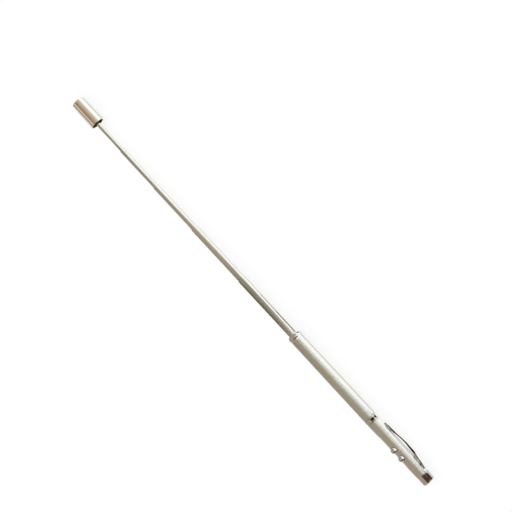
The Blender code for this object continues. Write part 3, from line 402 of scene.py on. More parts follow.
def finish_material(name, colours, roughness, metallic, mottle, grain, stretch, depth, **constant):
    """Finish with colour mottling, a roughness that wanders, and a fine grain in its bump.

    colours and roughness are pairs, mottle and grain the noise scales per metre, stretch the
    grain's scale along each axis, and depth its height in metres.
    """
    mat = bpy.data.materials.new(name)
    mat.use_nodes = True
    tree = mat.node_tree
    shader = tree.nodes["Principled BSDF"]
    shader.inputs["Metallic"].default_value = metallic
    for key, value in constant.items():
        shader.inputs[key.replace("_", " ")].default_value = value
    place = add_node(tree, "ShaderNodeTexCoord").outputs["Object"]
    broad = spread(tree, noise(tree, place, mottle), 0.0, 1.0)
    tree.links.new(mix_colours(tree, broad, *colours), shader.inputs["Base Color"])
    smear = noise(tree, place, mottle * SMEAR_SCALE, stretch, SMEAR_DETAIL)
    tree.links.new(spread(tree, smear, *roughness), shader.inputs["Roughness"])
    fine = noise(tree, place, grain, stretch, GRAIN_DETAIL)
    bump = add_node(tree, "ShaderNodeBump", Strength=1.0, Distance=depth)
    tree.links.new(fine, bump.inputs["Height"])
    tree.links.new(bump.outputs["Normal"], shader.inputs["Normal"])
    mat.diffuse_color = (*colours[0], 1.0)
    return mat


finishes = {
    "champagne_coating": finish_material(
        "satin_champagne", ((0.965, 0.96, 0.92), (0.947, 0.94, 0.895)), (0.2, 0.25), 1.0,
        420, 9000, EVEN, 0.0000012),
    "chrome": finish_material(
        "chrome_plate", ((0.985, 0.98, 0.97), (0.95, 0.945, 0.93)), (0.02, 0.05), 1.0,
        260, 5200, EVEN, 0.0000001),
    "tube_plating": finish_material(
        "drawn_tube_plate", ((0.96, 0.96, 0.925), (0.90, 0.90, 0.86)), (0.08, 0.15), 1.0,
        380, 7000, ALONG, 0.0000006),
    "brass": finish_material(
        "turned_brass", ((0.80, 0.60, 0.29), (0.70, 0.50, 0.22)), (0.2, 0.34), 1.0,
        500, 9000, ROUND_ABOUT, 0.0000015),
    "cap_bore": finish_material(
        "dull_brass_bore", ((0.36, 0.26, 0.18), (0.28, 0.20, 0.135)), (0.5, 0.64), 1.0,
        500, 9000, ROUND_ABOUT, 0.0000015),
    "steel": finish_material(
        "bright_steel", ((0.66, 0.66, 0.66), (0.55, 0.55, 0.56)), (0.22, 0.38), 1.0,
        600, 9000, EVEN, 0.0000015),
    "nickel": finish_material(
        "nickel_plate", ((0.74, 0.72, 0.67), (0.65, 0.63, 0.58)), (0.16, 0.3), 1.0,
        420, 8000, ROUND_ABOUT, 0.0000012),
    "board": finish_material(
        "solder_masked_board", ((0.03, 0.19, 0.08), (0.045, 0.25, 0.11)), (0.3, 0.5), 0.0,
        900, 5200, ALONG, 0.000004, Coat_Weight=0.4, Coat_Roughness=0.25),
    "black_plastic": finish_material(
        "moulded_black", ((0.022, 0.022, 0.024), (0.04, 0.04, 0.042)), (0.38, 0.58), 0.0,
        700, 12000, EVEN, 0.000004),
    "white_plastic": finish_material(
        "moulded_white", ((0.82, 0.80, 0.75), (0.76, 0.74, 0.69)), (0.3, 0.48), 0.0,
        700, 9000, EVEN, 0.000003),
    "clear": finish_material(
        "clear_lens", ((0.93, 0.95, 0.96), (0.88, 0.91, 0.93)), (0.02, 0.06), 0.0,
        400, 5200, EVEN, 0.0000002, Transmission_Weight=1.0, IOR=1.49),
}

record = frame["record"]
slots = {part["node"]: part["material_slot"] for part in record["subparts"]}
for node_name, node_object in nodes.items():
    node_object.data.materials.clear()
    node_object.data.materials.append(finishes[slots[node_name]])
body_of_node = {}
for body_name, names in record["behaviour"]["bodies"].items():
    for node_name in names:
        body_of_node[node_name] = body_name


# Shape helpers.


def make_object(name, mesh, place=(0.0, 0.0, 0.0)):
    ob = bpy.data.objects.new(name, mesh)
    bpy.context.scene.collection.objects.link(ob)
    ob.location = place
    return ob


def spin(name, outline, sides=SIDES, upright=False, place=(0.0, 0.0, 0.0)):
    """Closed mesh turned from an outline of (along, radius) points, about +X or about +Z."""
    bm = bmesh.new()
    rings = []
    for along_axis, r in outline:
        ring = []
        for i in range(1 if r < WELD_SIZE else sides):
            a = math.tau * i / sides
            if upright:
                ring.append(bm.verts.new((r * math.cos(a), r * math.sin(a), along_axis)))
            else:
                ring.append(bm.verts.new((along_axis, r * math.cos(a), r * math.sin(a))))
        rings.append(ring)
    pairs = list(zip(rings, rings[1:]))
    if outline[0][1] >= WELD_SIZE:
        pairs.append((rings[-1], rings[0]))
    for first, second in pairs:
        for i in range(sides):
            corners = [first[i % len(first)], first[(i + 1) % len(first)],
                       second[(i + 1) % len(second)], second[i % len(second)]]
            kept = list(dict.fromkeys(corners))
            if len(kept) > 2:
                bm.faces.new(kept)
    bmesh.ops.recalc_face_normals(bm, faces=bm.faces)
    mesh = bpy.data.meshes.new(name)
    bm.to_mesh(mesh)
    bm.free()
    return make_object(name, mesh, place)


def in_rows(outline, length=ROW_LENGTH):
    """The outline with its long straight runs split up and guarded at their ends.

    The guard points keep the shading of a straight run even right up to its rounded ends.
    """
    points = [outline[0]]
    for first, second in zip(outline, outline[1:]):
        run = math.hypot(second[0] - first[0], second[1] - first[1])
        shares = []
        if run > GUARDED_RUN:
            count = max(1, round(abs(second[0] - first[0]) / length))
            guard = GUARD_LENGTH / run
            shares = [guard] + [i / count for i in range(1, count)] + [1 - guard]
        for share in shares + [1.0]:
            points.append(tuple(a + (b - a) * share for a, b in zip(first, second)))
    return points


def block(name, size, centre, turn=0.0):
    """Box-shaped tool for a cut or a join."""
    bm = bmesh.new()
    bmesh.ops.create_cube(bm, size=1.0)
    bmesh.ops.scale(bm, vec=Vector(size), verts=bm.verts)
    mesh = bpy.data.meshes.new(name)
    bm.to_mesh(mesh)
    bm.free()
    ob = make_object(name, mesh, centre)
    ob.rotation_euler = (turn, 0.0, 0.0)
    return ob


def settle(ob):
    """Apply the object's modifiers, place and turn to its mesh."""
    bpy.context.view_layer.update()
    graph = bpy.context.evaluated_depsgraph_get()
    mesh = bpy.data.meshes.new_from_object(ob.evaluated_get(graph), depsgraph=graph)
    mesh.transform(ob.matrix_world)
    ob.modifiers.clear()
    ob.data = mesh
    ob.location = (0.0, 0.0, 0.0)
    ob.rotation_euler = (0.0, 0.0, 0.0)


def boolean(ob, tools, how="DIFFERENCE"):
    for tool in tools:
        step = ob.modifiers.new(tool.name, "BOOLEAN")
        step.operation = how
        step.solver = "EXACT"
        step.object = tool
    settle(ob)
    for tool in tools:
        bpy.data.objects.remove(tool, do_unlink=True)


def stand_for(ob, *names):
    """Give the object its finish and body from the nodes that it stands for."""
    settle(ob)
    ob.data.materials.clear()
    ob.data.materials.append(finishes[slots[names[0]]])
    ob.data.shade_smooth()
    ob.data.set_sharp_from_angle(angle=SHARP_ANGLE)
    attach(ob, body_of_node[names[0]])
    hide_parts(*names)
    return ob


def cylinder(name, diameter, x0, x1, y=0.0, sides=SMALL_SIDES):
    outline = [(x0, 0.0), (x0, diameter / 2), (x1, diameter / 2), (x1, 0.0)]
    return spin(name, outline, sides, place=(0.0, y, 0.0))


# The rear barrel's taper, which its neighbours follow.
rear_x0, rear_x1 = span("rear_barrel")
seam_r = BARREL_SEAM_DIAMETER / 2


def barrel_radius(x):
    return linear(x, rear_x0, BARREL_TAIL_DIAMETER, rear_x1, BARREL_SEAM_DIAMETER) / 2


# Tail cap with its two windows.
tail_x0, tail_x1 = span("tail_cap")
tail_r = width("tail_cap") / 2
spigot_r = barrel_radius(rear_x0) - REAR_WALL - SEAT_GAP
outline = [(tail_x0, 0.0)]
outline += arc(tail_x0 + TAIL_ROUND, tail_r - TAIL_ROUND, TAIL_ROUND, 180, 90)
outline += arc(TAIL_LENGTH - EDGE_ROUND, tail_r - EDGE_ROUND, EDGE_ROUND, 90, 0, EDGE_STEPS)
outline += [(TAIL_LENGTH, spigot_r), (tail_x1 - EDGE_ROUND, spigot_r),
            (tail_x1, spigot_r - EDGE_ROUND), (tail_x1, 0.0)]
tail_cap = spin("tail_cap_fine", in_rows(outline))


def window_tool(name, window, bore, y):
    """Window through the face, bevelled in front, with the bore for the unit behind it."""
    face = tail_x0 - CUT_OVERRUN
    step = tail_x0 + TAIL_FACE_WALL
    outline = [(face, 0.0), (face, window / 2 + WINDOW_BEVEL + CUT_OVERRUN),
               (tail_x0 + WINDOW_BEVEL, window / 2), (step, window / 2), (step, bore / 2),
               (tail_x1 + CUT_OVERRUN, bore / 2), (tail_x1 + CUT_OVERRUN, 0.0)]
    return spin(name, outline, SMALL_SIDES, place=(0.0, y, 0.0))


boolean(tail_cap, [window_tool("laser_window", LASER_WINDOW, LASER_BORE, -LASER_OFFSET),
                   window_tool("lamp_window", LAMP_WINDOW, LAMP_BORE, LAMP_OFFSET)])
stand_for(tail_cap, "tail_cap")

# Lens nut with its slot, lens and lamp behind the windows.
nut_x0, nut_x1 = span("lens_nut")
nut_r = width("lens_nut") / 2
outline = [(nut_x0, nut_r), (nut_x1, nut_r), (nut_x1, NUT_HOLE / 2),
           (nut_x0 + EDGE_ROUND, NUT_HOLE / 2), (nut_x0, NUT_HOLE / 2 + EDGE_ROUND)]
nut = spin("lens_nut_fine", outline, SMALL_SIDES, place=(0.0, -LASER_OFFSET, 0.0))
slot_size = (NUT_SLOT_DEPTH, NUT_SLOT_LENGTH, NUT_SLOT_WIDTH)
boolean(nut, [block("nut_slot", slot_size, (nut_x0, -LASER_OFFSET, 0.0))])
stand_for(nut, "lens_nut")

lens_x0, lens_x1 = span("laser_lens")
lens_r = width("laser_lens") / 2
bulge = lens_x1 - lens_x0 - LENS_RIM
outline = [(lens_x0, 0.0), (lens_x0, lens_r), (lens_x0 + LENS_RIM, lens_r)]
for i in range(1, LENS_STEPS + 1):
    share = i / LENS_STEPS
    outline.append((lens_x0 + LENS_RIM + bulge * (1 - (1 - share) ** 2), lens_r * (1 - share)))
lens = spin("laser_lens_fine", outline, SMALL_SIDES, place=(0.0, -LASER_OFFSET, 0.0))
stand_for(lens, "laser_lens")

lamp_x0, lamp_x1 = span("white_lamp")
lamp_r = LAMP_DIAMETER / 2
lamp_back = lamp_x0 + LAMP_LENGTH
outline = arc(lamp_x0 + lamp_r, 0.0, lamp_r, 180, 90, LAMP_STEPS)
outline[0] = (lamp_x0, 0.0)
outline += [(lamp_back - LAMP_RIM_LENGTH, lamp_r),
            (lamp_back - LAMP_RIM_LENGTH, LAMP_RIM_DIAMETER / 2),
            (lamp_back, LAMP_RIM_DIAMETER / 2), (lamp_back, 0.0)]
lamp = spin("white_lamp_fine", outline, SMALL_SIDES, place=(0.0, LAMP_OFFSET, 0.0))
leads = []
for side in (-1, 1):
    lead = cylinder("lamp_lead", LEAD_DIAMETER, lamp_back - SEAT_GAP, lamp_x1,
                    LAMP_OFFSET + side * LEAD_SPACING / 2, LEAD_SIDES)
    lead.location.z = LEAD_HEIGHT
    leads.append(lead)
boolean(lamp, leads, "UNION")
stand_for(lamp, "white_lamp")

# Clip: the same sheet as its solid, in fine rows.
clip_x0, clip_x1 = span("clip")
clip_length = clip_x1 - clip_x0


def clip_top(x, crest, y):
    rim = barrel_radius(x) + CLIP_SEAT_GAP + CLIP_THICKNESS
    return max(crest - y * y / (CLIP_TOP_RADIUS * 2), math.sqrt(rim * rim - y * y))


def clip_crest(u):
    return barrel_radius(clip_x0 + clip_length * u) + CLIP_RISE * along(CLIP_LINE_SHARES, u)


def clip_row(u):
    """Half of a row of the outer skin, from the crest down to the wall's lower edge."""
    x = clip_x0 + clip_length * u
    foot = CLIP_FOOT_WIDTH / 2 * along(CLIP_WIDTH_SHARES, u)
    half = foot * CLIP_FLARE_SHARE
    crest = clip_crest(u)
    inset = half - CLIP_CORNER_ROUND
    inset_top = clip_top(x, crest, inset)
    edge = (math.sqrt(barrel_radius(x) ** 2 - foot * foot) - CLIP_SINK
            + CLIP_LIFT * along(CLIP_LIFT_SHARES, u))
    points = []
    for i in range(CLIP_TOP_COLUMNS):
        y = inset * i / CLIP_TOP_COLUMNS
        points.append((y, clip_top(x, crest, y)))
    for i in range(CLIP_CORNER_COLUMNS + 1):
        a = math.radians(90 - 90 * i / CLIP_CORNER_COLUMNS)
        points.append((inset + CLIP_CORNER_ROUND * math.cos(a),
                       inset_top - CLIP_CORNER_ROUND * (1 - math.sin(a))))
    low_y, low_z = points[-1]
    drop = min(edge, low_z - EDGE_ROUND) - low_z
    for i in range(1, CLIP_WALL_COLUMNS + 1):
        share = i / CLIP_WALL_COLUMNS
        points.append((low_y + (foot - low_y) * share, low_z + drop * share))
    return x, points


bm = bmesh.new()
rows = []
for k in range(CLIP_ROWS + 1):
    u = k / CLIP_ROWS
    crowded = u * u * (3 - 2 * u)
    x, half_row = clip_row(CLIP_ROW_CROWDING * crowded + (1 - CLIP_ROW_CROWDING) * u)
    left = [bm.verts.new((x, -y, z)) for y, z in reversed(half_row[1:])]
    right = [bm.verts.new((x, y, z)) for y, z in half_row]
    rows.append(left + right)
for first, second in zip(rows, rows[1:]):
    for i in range(len(first) - 1):
        bm.faces.new((first[i], second[i], second[i + 1], first[i + 1]))
bmesh.ops.recalc_face_normals(bm, faces=bm.faces)
if sum(face.normal.z for face in bm.faces) < 0:
    bmesh.ops.reverse_faces(bm, faces=bm.faces)
clip_mesh = bpy.data.meshes.new("clip_fine")
bm.to_mesh(clip_mesh)
bm.free()
clip = make_object("clip_fine", clip_mesh)
clip.rotation_euler = (CLIP_ANGLE, 0.0, 0.0)
sheet = clip.modifiers.new("thickness", "SOLIDIFY")
sheet.thickness = CLIP_THICKNESS
sheet.offset = -1.0
eased = clip.modifiers.new("eased_edges", "BEVEL")
eased.width = CLIP_EDGE_EASE
eased.segments = CLIP_EDGE_SEGMENTS
eased.limit_method = "ANGLE"
eased.angle_limit = CLIP_EDGE_ANGLE
seat = [(rear_x0, 0.0), (rear_x0, BARREL_TAIL_DIAMETER / 2 + CLIP_SEAT_GAP),
        (rear_x1, BARREL_SEAM_DIAMETER / 2 + CLIP_SEAT_GAP), (rear_x1, 0.0)]
boolean(clip, [spin("clip_seat", in_rows(seat))])

tab_x = clip_x0 + clip_length * TAB_START_SHARE + TAB_LENGTH / 2
tab_top = (clip_top(tab_x, clip_crest((tab_x - clip_x0) / clip_length), TAB_OFFSET)
           - CLIP_THICKNESS * TAB_ROOT_SHARE)
tab_bottom = math.sqrt(barrel_radius(tab_x) ** 2 - TAB_OFFSET ** 2) - TAB_REACH
tabs = []
tab_slots = []
for side in (-1, 1):
    y = side * TAB_OFFSET
    z = (tab_top + tab_bottom) / 2
    centre = (tab_x, y * math.cos(CLIP_ANGLE) - z * math.sin(CLIP_ANGLE),
              y * math.sin(CLIP_ANGLE) + z * math.cos(CLIP_ANGLE))
    tall = tab_top - tab_bottom
    tabs.append(block("clip_tab", (TAB_LENGTH, TAB_THICKNESS, tall), centre, CLIP_ANGLE))
    size = (TAB_LENGTH + TAB_GAP * 2, TAB_THICKNESS + TAB_GAP * 2, tall + CUT_OVERRUN)
    tab_slots.append(block("tab_slot", size, centre, CLIP_ANGLE))
boolean(clip, tabs, "UNION")
stand_for(clip, "clip")

# Rear barrel with its holes and slots.
rear_r = barrel_radius(rear_x0)
outline = arc(rear_x0 + EDGE_ROUND, rear_r - EDGE_ROUND, EDGE_ROUND, 180, 90, EDGE_STEPS)
outline += arc(rear_x1 - EDGE_ROUND, seam_r - EDGE_ROUND, EDGE_ROUND, 90, 0, EDGE_STEPS)
outline += [(rear_x1, seam_r - REAR_WALL), (rear_x0, rear_r - REAR_WALL)]
rear_barrel = spin("rear_barrel_fine", in_rows(outline))
holes = []
for label in ("lamp", "laser"):
    low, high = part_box(label + "_button")
    hole_r = BUTTON_BALL / 2 + BUTTON_HOLE_GAP
    hole_top = seam_r + CUT_OVERRUN
    outline = [(0.0, 0.0), (0.0, hole_r), (hole_top, hole_r), (hole_top, 0.0)]
    place = ((low.x + high.x) / 2, 0.0, 0.0)
    holes.append(spin("button_hole", outline, SMALL_SIDES, True, place))
boolean(rear_barrel, holes + tab_slots)
stand_for(rear_barrel, "rear_barrel")

# Push buttons.
ball_r = BUTTON_BALL / 2
ball_low = math.degrees(math.asin(-FLANGE_DROP / ball_r))
for label in ("lamp", "laser"):
    low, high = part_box(label + "_button")
    flange_r = (high.x - low.x) / 2
    flange_top = BUTTON_HEIGHT - FLANGE_DROP
    flange_bottom = flange_top - FLANGE_THICKNESS
    outline = [(low.z, 0.0), (low.z, STEM_DIAMETER / 2), (flange_bottom, STEM_DIAMETER / 2),
               (flange_bottom, flange_r), (flange_top, flange_r)]
    for i in range(BALL_STEPS):
        a = math.radians(ball_low + (90 - ball_low) * i / BALL_STEPS)
        outline.append((BUTTON_HEIGHT + ball_r * math.sin(a), ball_r * math.cos(a)))
    outline.append((BUTTON_HEIGHT + ball_r, 0.0))
    place = ((low.x + high.x) / 2, 0.0, 0.0)
    button = spin(label + "_button_fine", outline, SMALL_SIDES, True, place)
    stand_for(button, label + "_button")

# Middle ring.
ring_x0, ring_x1 = span("middle_ring")
ring_r = width("middle_ring") / 2
outline = arc(ring_x0 + RING_ROUND, ring_r - RING_ROUND, RING_ROUND, 180, 90)
outline += arc(ring_x1 - RING_ROUND, ring_r - RING_ROUND, RING_ROUND, 90, 0)
outline += [(ring_x1, FRONT_BORE / 2), (ring_x0, FRONT_BORE / 2)]
stand_for(spin("middle_ring_fine", in_rows(outline)), "middle_ring")

# Front barrel.
front_x0, front_x1 = span("front_barrel")
front_r = BARREL_FRONT_DIAMETER / 2
outline = arc(front_x0 + EDGE_ROUND, seam_r - EDGE_ROUND, EDGE_ROUND, 180, 90, EDGE_STEPS)
outline += arc(front_x1 - EDGE_ROUND, front_r - EDGE_ROUND, EDGE_ROUND, 90, 0, EDGE_STEPS)
outline += [(front_x1, FRONT_BORE / 2), (front_x0, FRONT_BORE / 2)]
stand_for(spin("front_barrel_fine", in_rows(outline)), "front_barrel")

# Front ferrule.
ferrule_x0, ferrule_x1 = span("front_ferrule")
guide_r = width("tube_5") / 2 + SLIDE_GAP
swell_r = front_r + SWELL_HEIGHT - SWELL_ROUND
collar_turn = math.degrees(math.asin((front_r - swell_r) / SWELL_ROUND))
nose_turn = math.degrees(math.asin((guide_r + MOUTH_ROUND - swell_r) / SWELL_ROUND))
swell_x = ferrule_x1 - SWELL_ROUND * math.cos(math.radians(nose_turn))
collar_x = ferrule_x0 + SPIGOT_LENGTH
outline = [(ferrule_x0, FRONT_BORE / 2 - SEAT_GAP), (collar_x, FRONT_BORE / 2 - SEAT_GAP),
           (collar_x, front_r - EDGE_CHAMFER), (collar_x + EDGE_CHAMFER, front_r)]
outline += arc(swell_x, swell_r, SWELL_ROUND, 180 - collar_turn, nose_turn, SWELL_STEPS)
outline += [(ferrule_x1 - MOUTH_ROUND, guide_r), (ferrule_x0, guide_r)]
stand_for(spin("front_ferrule_fine", in_rows(outline)), "front_ferrule")

# Telescoping tubes.
for number in (5, 4, 3, 2, 1):
    tube = "tube_" + str(number)
    x0, x1 = span(tube)
    r = width(tube) / 2
    bore = r - WALL
    neck = r - NECK_DEPTH
    neck_end = x0 + NECK_END
    slope_end = neck_end + NECK_SLOPE
    outline = [(x0, r), (x0 + FLARE_LENGTH, r), (x0 + FLARE_LENGTH, neck), (neck_end, neck),
               (slope_end, r)]
    if number == 1:
        outline += [(x1, r), (x1, bore)]
    else:
        lip = width("tube_" + str(number - 1)) / 2 + SLIDE_GAP
        outline += arc(x1 - MOUTH_ROUND, r - MOUTH_ROUND, MOUTH_ROUND, 90, 0, LIP_STEPS)
        outline += [(x1, lip + SLIDE_GAP), (x1 - SLIDE_GAP, lip), (x1 - LIP_LENGTH, lip),
                    (x1 - LIP_LENGTH - MOUTH_ROUND, bore)]
    outline += [(slope_end, bore), (neck_end, neck - WALL), (x0, neck - WALL)]
    stand_for(spin(tube + "_fine", in_rows(outline, TUBE_ROW_LENGTH), TUBE_SIDES), tube)

# Nib, writing tip and ball.
nib_x0, nib_x1 = span("nib")
nib_r = width("nib") / 2
tube_r = width("tube_1") / 2
refill_hole = width("refill_tube") / 2 + SLIDE_GAP
grip_end = nib_x0 + NIB_GRIP_LENGTH + SEAT_GAP
outline = arc(nib_x0 + EDGE_ROUND, nib_r - EDGE_ROUND, EDGE_ROUND, 180, 90, EDGE_STEPS)
outline += [(nib_x0 + NIB_STRAIGHT_LENGTH, nib_r), (nib_x1 - EDGE_CHAMFER, NIB_TIP_DIAMETER / 2),
            (nib_x1, NIB_TIP_DIAMETER / 2 - EDGE_CHAMFER), (nib_x1, refill_hole),
            (grip_end, refill_hole), (grip_end, tube_r + SEAT_GAP), (nib_x0, tube_r + SEAT_GAP)]
stand_for(spin("nib_fine", in_rows(outline), TUBE_SIDES), "nib")

tip_x0, tip_x1 = span("refill_tip")
refill_r = width("refill_tip") / 2
refill_x1 = span("refill_tube")[1]
ball_x0, ball_x1 = span("refill_ball")
ball_centre = (ball_x0 + ball_x1) / 2
writing_r = (ball_x1 - ball_x0) / 2
socket_r = writing_r + BALL_GAP
mouth_r = math.sqrt(socket_r ** 2 - (tip_x1 - ball_centre) ** 2)
plug_r = refill_r - REFILL_WALL - SEAT_GAP
outline = [(tip_x0, 0.0), (tip_x0, plug_r), (refill_x1 + SEAT_GAP, plug_r),
           (refill_x1 + SEAT_GAP, refill_r), (refill_x1 + TIP_NECK_LENGTH, refill_r),
           (tip_x1, TIP_END_DIAMETER / 2), (tip_x1, mouth_r), (ball_centre, socket_r),
           (ball_centre - socket_r, socket_r), (ball_centre - socket_r, 0.0)]
stand_for(spin("refill_tip_fine", outline, SMALL_SIDES), "refill_tip")
outline = arc(ball_centre, 0.0, writing_r, 180, 0, WRITING_BALL_STEPS)
outline[0] = (outline[0][0], 0.0)
outline[-1] = (outline[-1][0], 0.0)
stand_for(spin("refill_ball_fine", outline, SMALL_SIDES), "refill_ball")

# Pen cap and its liner.
cap_x0, cap_x1 = span("cap_shell")
cap_mouth_r = width("cap_shell") / 2
cap_end_r = CAP_END_DIAMETER / 2
bore_end = cap_x0 + CAP_BORE_DEPTH
liner_seat_end = cap_x0 + CAP_LINER_END
tip_end = cap_x1 - CAP_END_WALL
outline = [(tip_end, 0.0), (tip_end, CAP_TIP_BORE / 2), (liner_seat_end, CAP_TIP_BORE / 2),
           (liner_seat_end, CAP_LINER_BORE / 2), (bore_end, CAP_LINER_BORE / 2),
           (bore_end, CAP_BORE / 2), (cap_x0 + CAP_MOUTH_ROUND, CAP_BORE / 2),
           (cap_x0, CAP_BORE / 2 + CAP_MOUTH_ROUND)]
outline += arc(cap_x0 + CAP_MOUTH_ROUND, cap_mouth_r - CAP_MOUTH_ROUND, CAP_MOUTH_ROUND, 180, 90,
               CAP_MOUTH_STEPS)
outline += arc(cap_x1 - CAP_END_ROUND, cap_end_r - CAP_END_ROUND, CAP_END_ROUND, 90, 0)
outline += [(cap_x1, 0.0)]
cap_shell = stand_for(spin("cap_shell_fine", in_rows(outline)), "cap_shell")

# The cap's plating ends at its mouth, and the inside is dull brass.
cap_shell.data.materials.append(finishes["cap_bore"])
inside_x = tip_end + EDGE_ROUND
inside_r = CAP_BORE / 2 + CAP_MOUTH_ROUND * BORE_FINISH_SHARE
for face in cap_shell.data.polygons:
    if face.center.x < inside_x and face.center.yz.length < inside_r:
        face.material_index = 1

liner_x0, liner_x1 = span("cap_liner")
liner_r = width("cap_liner") / 2
liner_hole = nib_r + SLIDE_GAP
outline = [(liner_x0, liner_r), (liner_x1, liner_r), (liner_x1, liner_hole),
           (liner_x0 + LINER_LEAD_IN, liner_hole), (liner_x0, liner_hole + LINER_LEAD_IN)]
stand_for(spin("cap_liner_fine", in_rows(outline), TUBE_SIDES), "cap_liner")

# Floor, a plain white sheet just under the pen. The camera and the bright metal see it as white
# with a part of its shadow.
floor_z = cad_low.z - FLOOR_GAP


def flat(name, x_span, y_span, z):
    """Level rectangle for the floor and for the cards that lie on it."""
    corners = [(x, y, z) for y in y_span for x in x_span]
    mesh = bpy.data.meshes.new(name)
    mesh.from_pydata(corners, [], [(0, 1, 3, 2)])
    return make_object(name, mesh)


floor_span = (-FLOOR_HALF_WIDTH, FLOOR_HALF_WIDTH)
floor = flat("floor", floor_span, floor_span, floor_z)
floor_finish = bpy.data.materials.new("white_sheet")
floor_finish.use_nodes = True
tree = floor_finish.node_tree
tree.nodes.clear()
paper = add_node(tree, "ShaderNodeBsdfDiffuse")
paper.inputs["Color"].default_value = (FLOOR_WHITE, FLOOR_WHITE, FLOOR_WHITE, 1.0)
glow = add_node(tree, "ShaderNodeEmission", Strength=1.0)
lit = add_node(tree, "ShaderNodeMixShader")
lit.inputs[0].default_value = FLOOR_GLOW
tree.links.new(paper.outputs[0], lit.inputs[1])
tree.links.new(glow.outputs[0], lit.inputs[2])
rays = add_node(tree, "ShaderNodeLightPath")
seen = add_node(tree, "ShaderNodeMath", operation="ADD", use_clamp=True)
tree.links.new(rays.outputs["Is Camera Ray"], seen.inputs[0])
tree.links.new(rays.outputs["Is Glossy Ray"], seen.inputs[1])
seen_through = add_node(tree, "ShaderNodeMath", operation="ADD", use_clamp=True)
tree.links.new(seen.outputs[0], seen_through.inputs[0])
tree.links.new(rays.outputs["Is Transmission Ray"], seen_through.inputs[1])
choose = add_node(tree, "ShaderNodeMixShader")
tree.links.new(seen_through.outputs[0], choose.inputs[0])
tree.links.new(paper.outputs[0], choose.inputs[1])
tree.links.new(lit.outputs[0], choose.inputs[2])
tree.links.new(choose.outputs[0], add_node(tree, "ShaderNodeOutputMaterial").inputs["Surface"])
floor.data.materials.append(floor_finish)
floor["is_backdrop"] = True

# Cards beside the pen for the bright metal to mirror, out of the camera's sight.


def mirrored_only(card, colour):
    """Matt card that nothing but bright metal sees."""
    card_finish = bpy.data.materials.new(card.name)
    card_finish.use_nodes = True
    card_shader = card_finish.node_tree.nodes["Principled BSDF"]
    card_shader.inputs["Base Color"].default_value = (*colour, 1.0)
    card_shader.inputs["Roughness"].default_value = 1.0
    card_shader.inputs["Specular IOR Level"].default_value = 0.0
    card.data.materials.append(card_finish)
    card.visible_camera = False
    card.visible_diffuse = False
    card.visible_shadow = False
    card.visible_transmission = False
    card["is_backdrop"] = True


for label, x_span, y_span, colour in CARDS:
    mirrored_only(flat(label, x_span, y_span, floor_z + CARD_LIFT), colour)
for label, x_span, height, lower_edge, upper_edge in FLAGS:
    flag = flat(label, x_span, (0.0, upper_edge), 0.0)
    for vert, reach in zip(flag.data.vertices, (*lower_edge, upper_edge, upper_edge)):
        y = height * math.cos(CLIP_ANGLE) - reach * math.sin(CLIP_ANGLE)
        z = height * math.sin(CLIP_ANGLE) + reach * math.cos(CLIP_ANGLE)
        vert.co = (vert.co.x, y, z)
    mirrored_only(flag, FLAG_COLOUR)

# Soft light from above, felt by matt surfaces only.
sun_data = bpy.data.lights.new("soft_light", "SUN")
sun_data.energy = SUN_POWER
sun_data.angle = math.radians(SUN_SPREAD_DEGREES)
sun = bpy.data.objects.new("soft_light", sun_data)
sun.rotation_euler = tuple(math.radians(a) for a in SUN_TURN_DEGREES)
sun.visible_glossy = False
bpy.context.scene.collection.objects.link(sun)

# World: glossy rays see the bands with the dark parts over them, all others plain white.
world = bpy.data.worlds.new("studio")
bpy.context.scene.world = world
world.use_nodes = True
sky = world.node_tree
sky.nodes.clear()
direction = add_node(sky, "ShaderNodeSeparateXYZ")
sky.links.new(add_node(sky, "ShaderNodeTexCoord").outputs["Generated"], direction.inputs["Vector"])


def sky_math(operation, first, second=None):
    made = add_node(sky, "ShaderNodeMath", operation=operation)
    for k, value in enumerate((first, second)):
        if value is None:
            continue
        if isinstance(value, (int, float)):
            made.inputs[k].default_value = value
        else:
            sky.links.new(value, made.inputs[k])
    return made.outputs["Value"]


def sky_step(source, start, end):
    made = add_node(sky, "ShaderNodeMapRange", interpolation_type="SMOOTHSTEP")
    made.inputs["From Min"].default_value = start
    made.inputs["From Max"].default_value = end
    sky.links.new(source, made.inputs["Value"])
    return made.outputs["Result"]


def sky_bands(source, bands):
    made = add_node(sky, "ShaderNodeValToRGB")
    ramp = made.color_ramp
    for k, (angle, colour) in enumerate(bands):
        at = (angle + HALF_TURN) / FULL_TURN
        if k < 2:
            stop = ramp.elements[k]
            stop.position = at
        else:
            stop = ramp.elements.new(at)
        stop.color = (*colour, 1.0)
    sky.links.new(source, made.inputs["Fac"])
    return made.outputs["Color"]


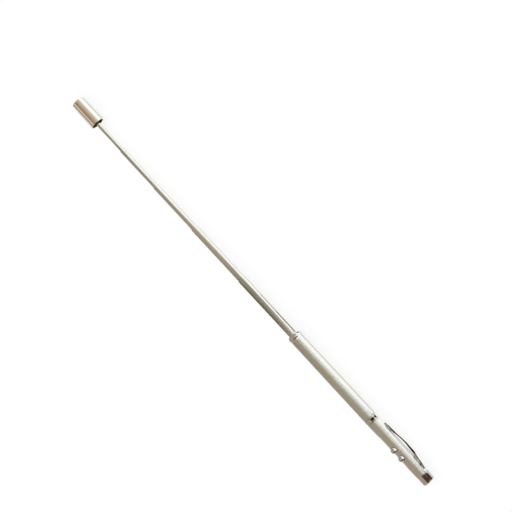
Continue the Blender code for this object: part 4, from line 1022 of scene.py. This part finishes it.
towards_clip = sky_math("MULTIPLY", direction.outputs["Y"], -1.0)
angle = sky_math("ARCTAN2", towards_clip, direction.outputs["Z"])
share_round = sky_math("ADD", sky_math("DIVIDE", angle, math.tau), 0.5)
degrees_round = sky_math("MULTIPLY", angle, math.degrees(1.0))
side = direction.outputs["X"]
to_tubes = sky_step(side, *TUBES_BLEND)
to_cap = sky_math("SUBTRACT", sky_step(side, *CAP_BLEND), sky_step(side, *CAP_BLEND_BACK))
near_tail = sky_step(side, *reversed(TAIL_BLEND))
tail_lag = sky_math("MULTIPLY", near_tail, TAIL_LAG_DEGREES / FULL_TURN)
share_barrel = sky_math("SUBTRACT", share_round, tail_lag)
barrel_bands = sky_bands(share_barrel, BANDS_BARREL)
shown = mix_colours(sky, to_tubes, barrel_bands, sky_bands(share_round, BANDS_TUBES))
shown = mix_colours(sky, to_cap, shown, sky_bands(share_round, BANDS_TO_CAP))
for (side_low, side_high), (low_turn, high_turn), (side_soft, turn_soft), colour in DARK_PARTS:
    inside = sky_math(
        "MULTIPLY",
        sky_math("MULTIPLY",
                 sky_step(degrees_round, low_turn - turn_soft, low_turn),
                 sky_step(degrees_round, high_turn + turn_soft, high_turn)),
        sky_math("MULTIPLY",
                 sky_step(side, side_low - side_soft, side_low),
                 sky_step(side, side_high + side_soft, side_high)))
    shown = mix_colours(sky, inside, shown, colour)
mirrored = add_node(sky, "ShaderNodeBackground")
sky.links.new(shown, mirrored.inputs["Color"])
plain = add_node(sky, "ShaderNodeBackground")
plain.inputs["Color"].default_value = (*WHITE, 1.0)
choose = add_node(sky, "ShaderNodeMixShader")
sky.links.new(add_node(sky, "ShaderNodeLightPath").outputs["Is Glossy Ray"], choose.inputs[0])
sky.links.new(plain.outputs[0], choose.inputs[1])
sky.links.new(mirrored.outputs[0], choose.inputs[2])
sky.links.new(choose.outputs[0], add_node(sky, "ShaderNodeOutputWorld").inputs["Surface"])

# Camera.
camera_data = bpy.data.cameras.new("camera")
camera_data.sensor_width = SENSOR_WIDTH
camera_data.lens = SENSOR_WIDTH * FOCAL_PIXELS / IMAGE_PIXELS
camera_data.clip_start = CLIP_NEAR
camera = bpy.data.objects.new("camera", camera_data)
camera.location = CAMERA_PLACE
camera.rotation_euler = tuple(math.radians(a) for a in CAMERA_TURN_DEGREES)
bpy.context.scene.collection.objects.link(camera)
bpy.context.scene.camera = camera
bpy.context.scene.view_settings.view_transform = "Standard"

low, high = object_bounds()
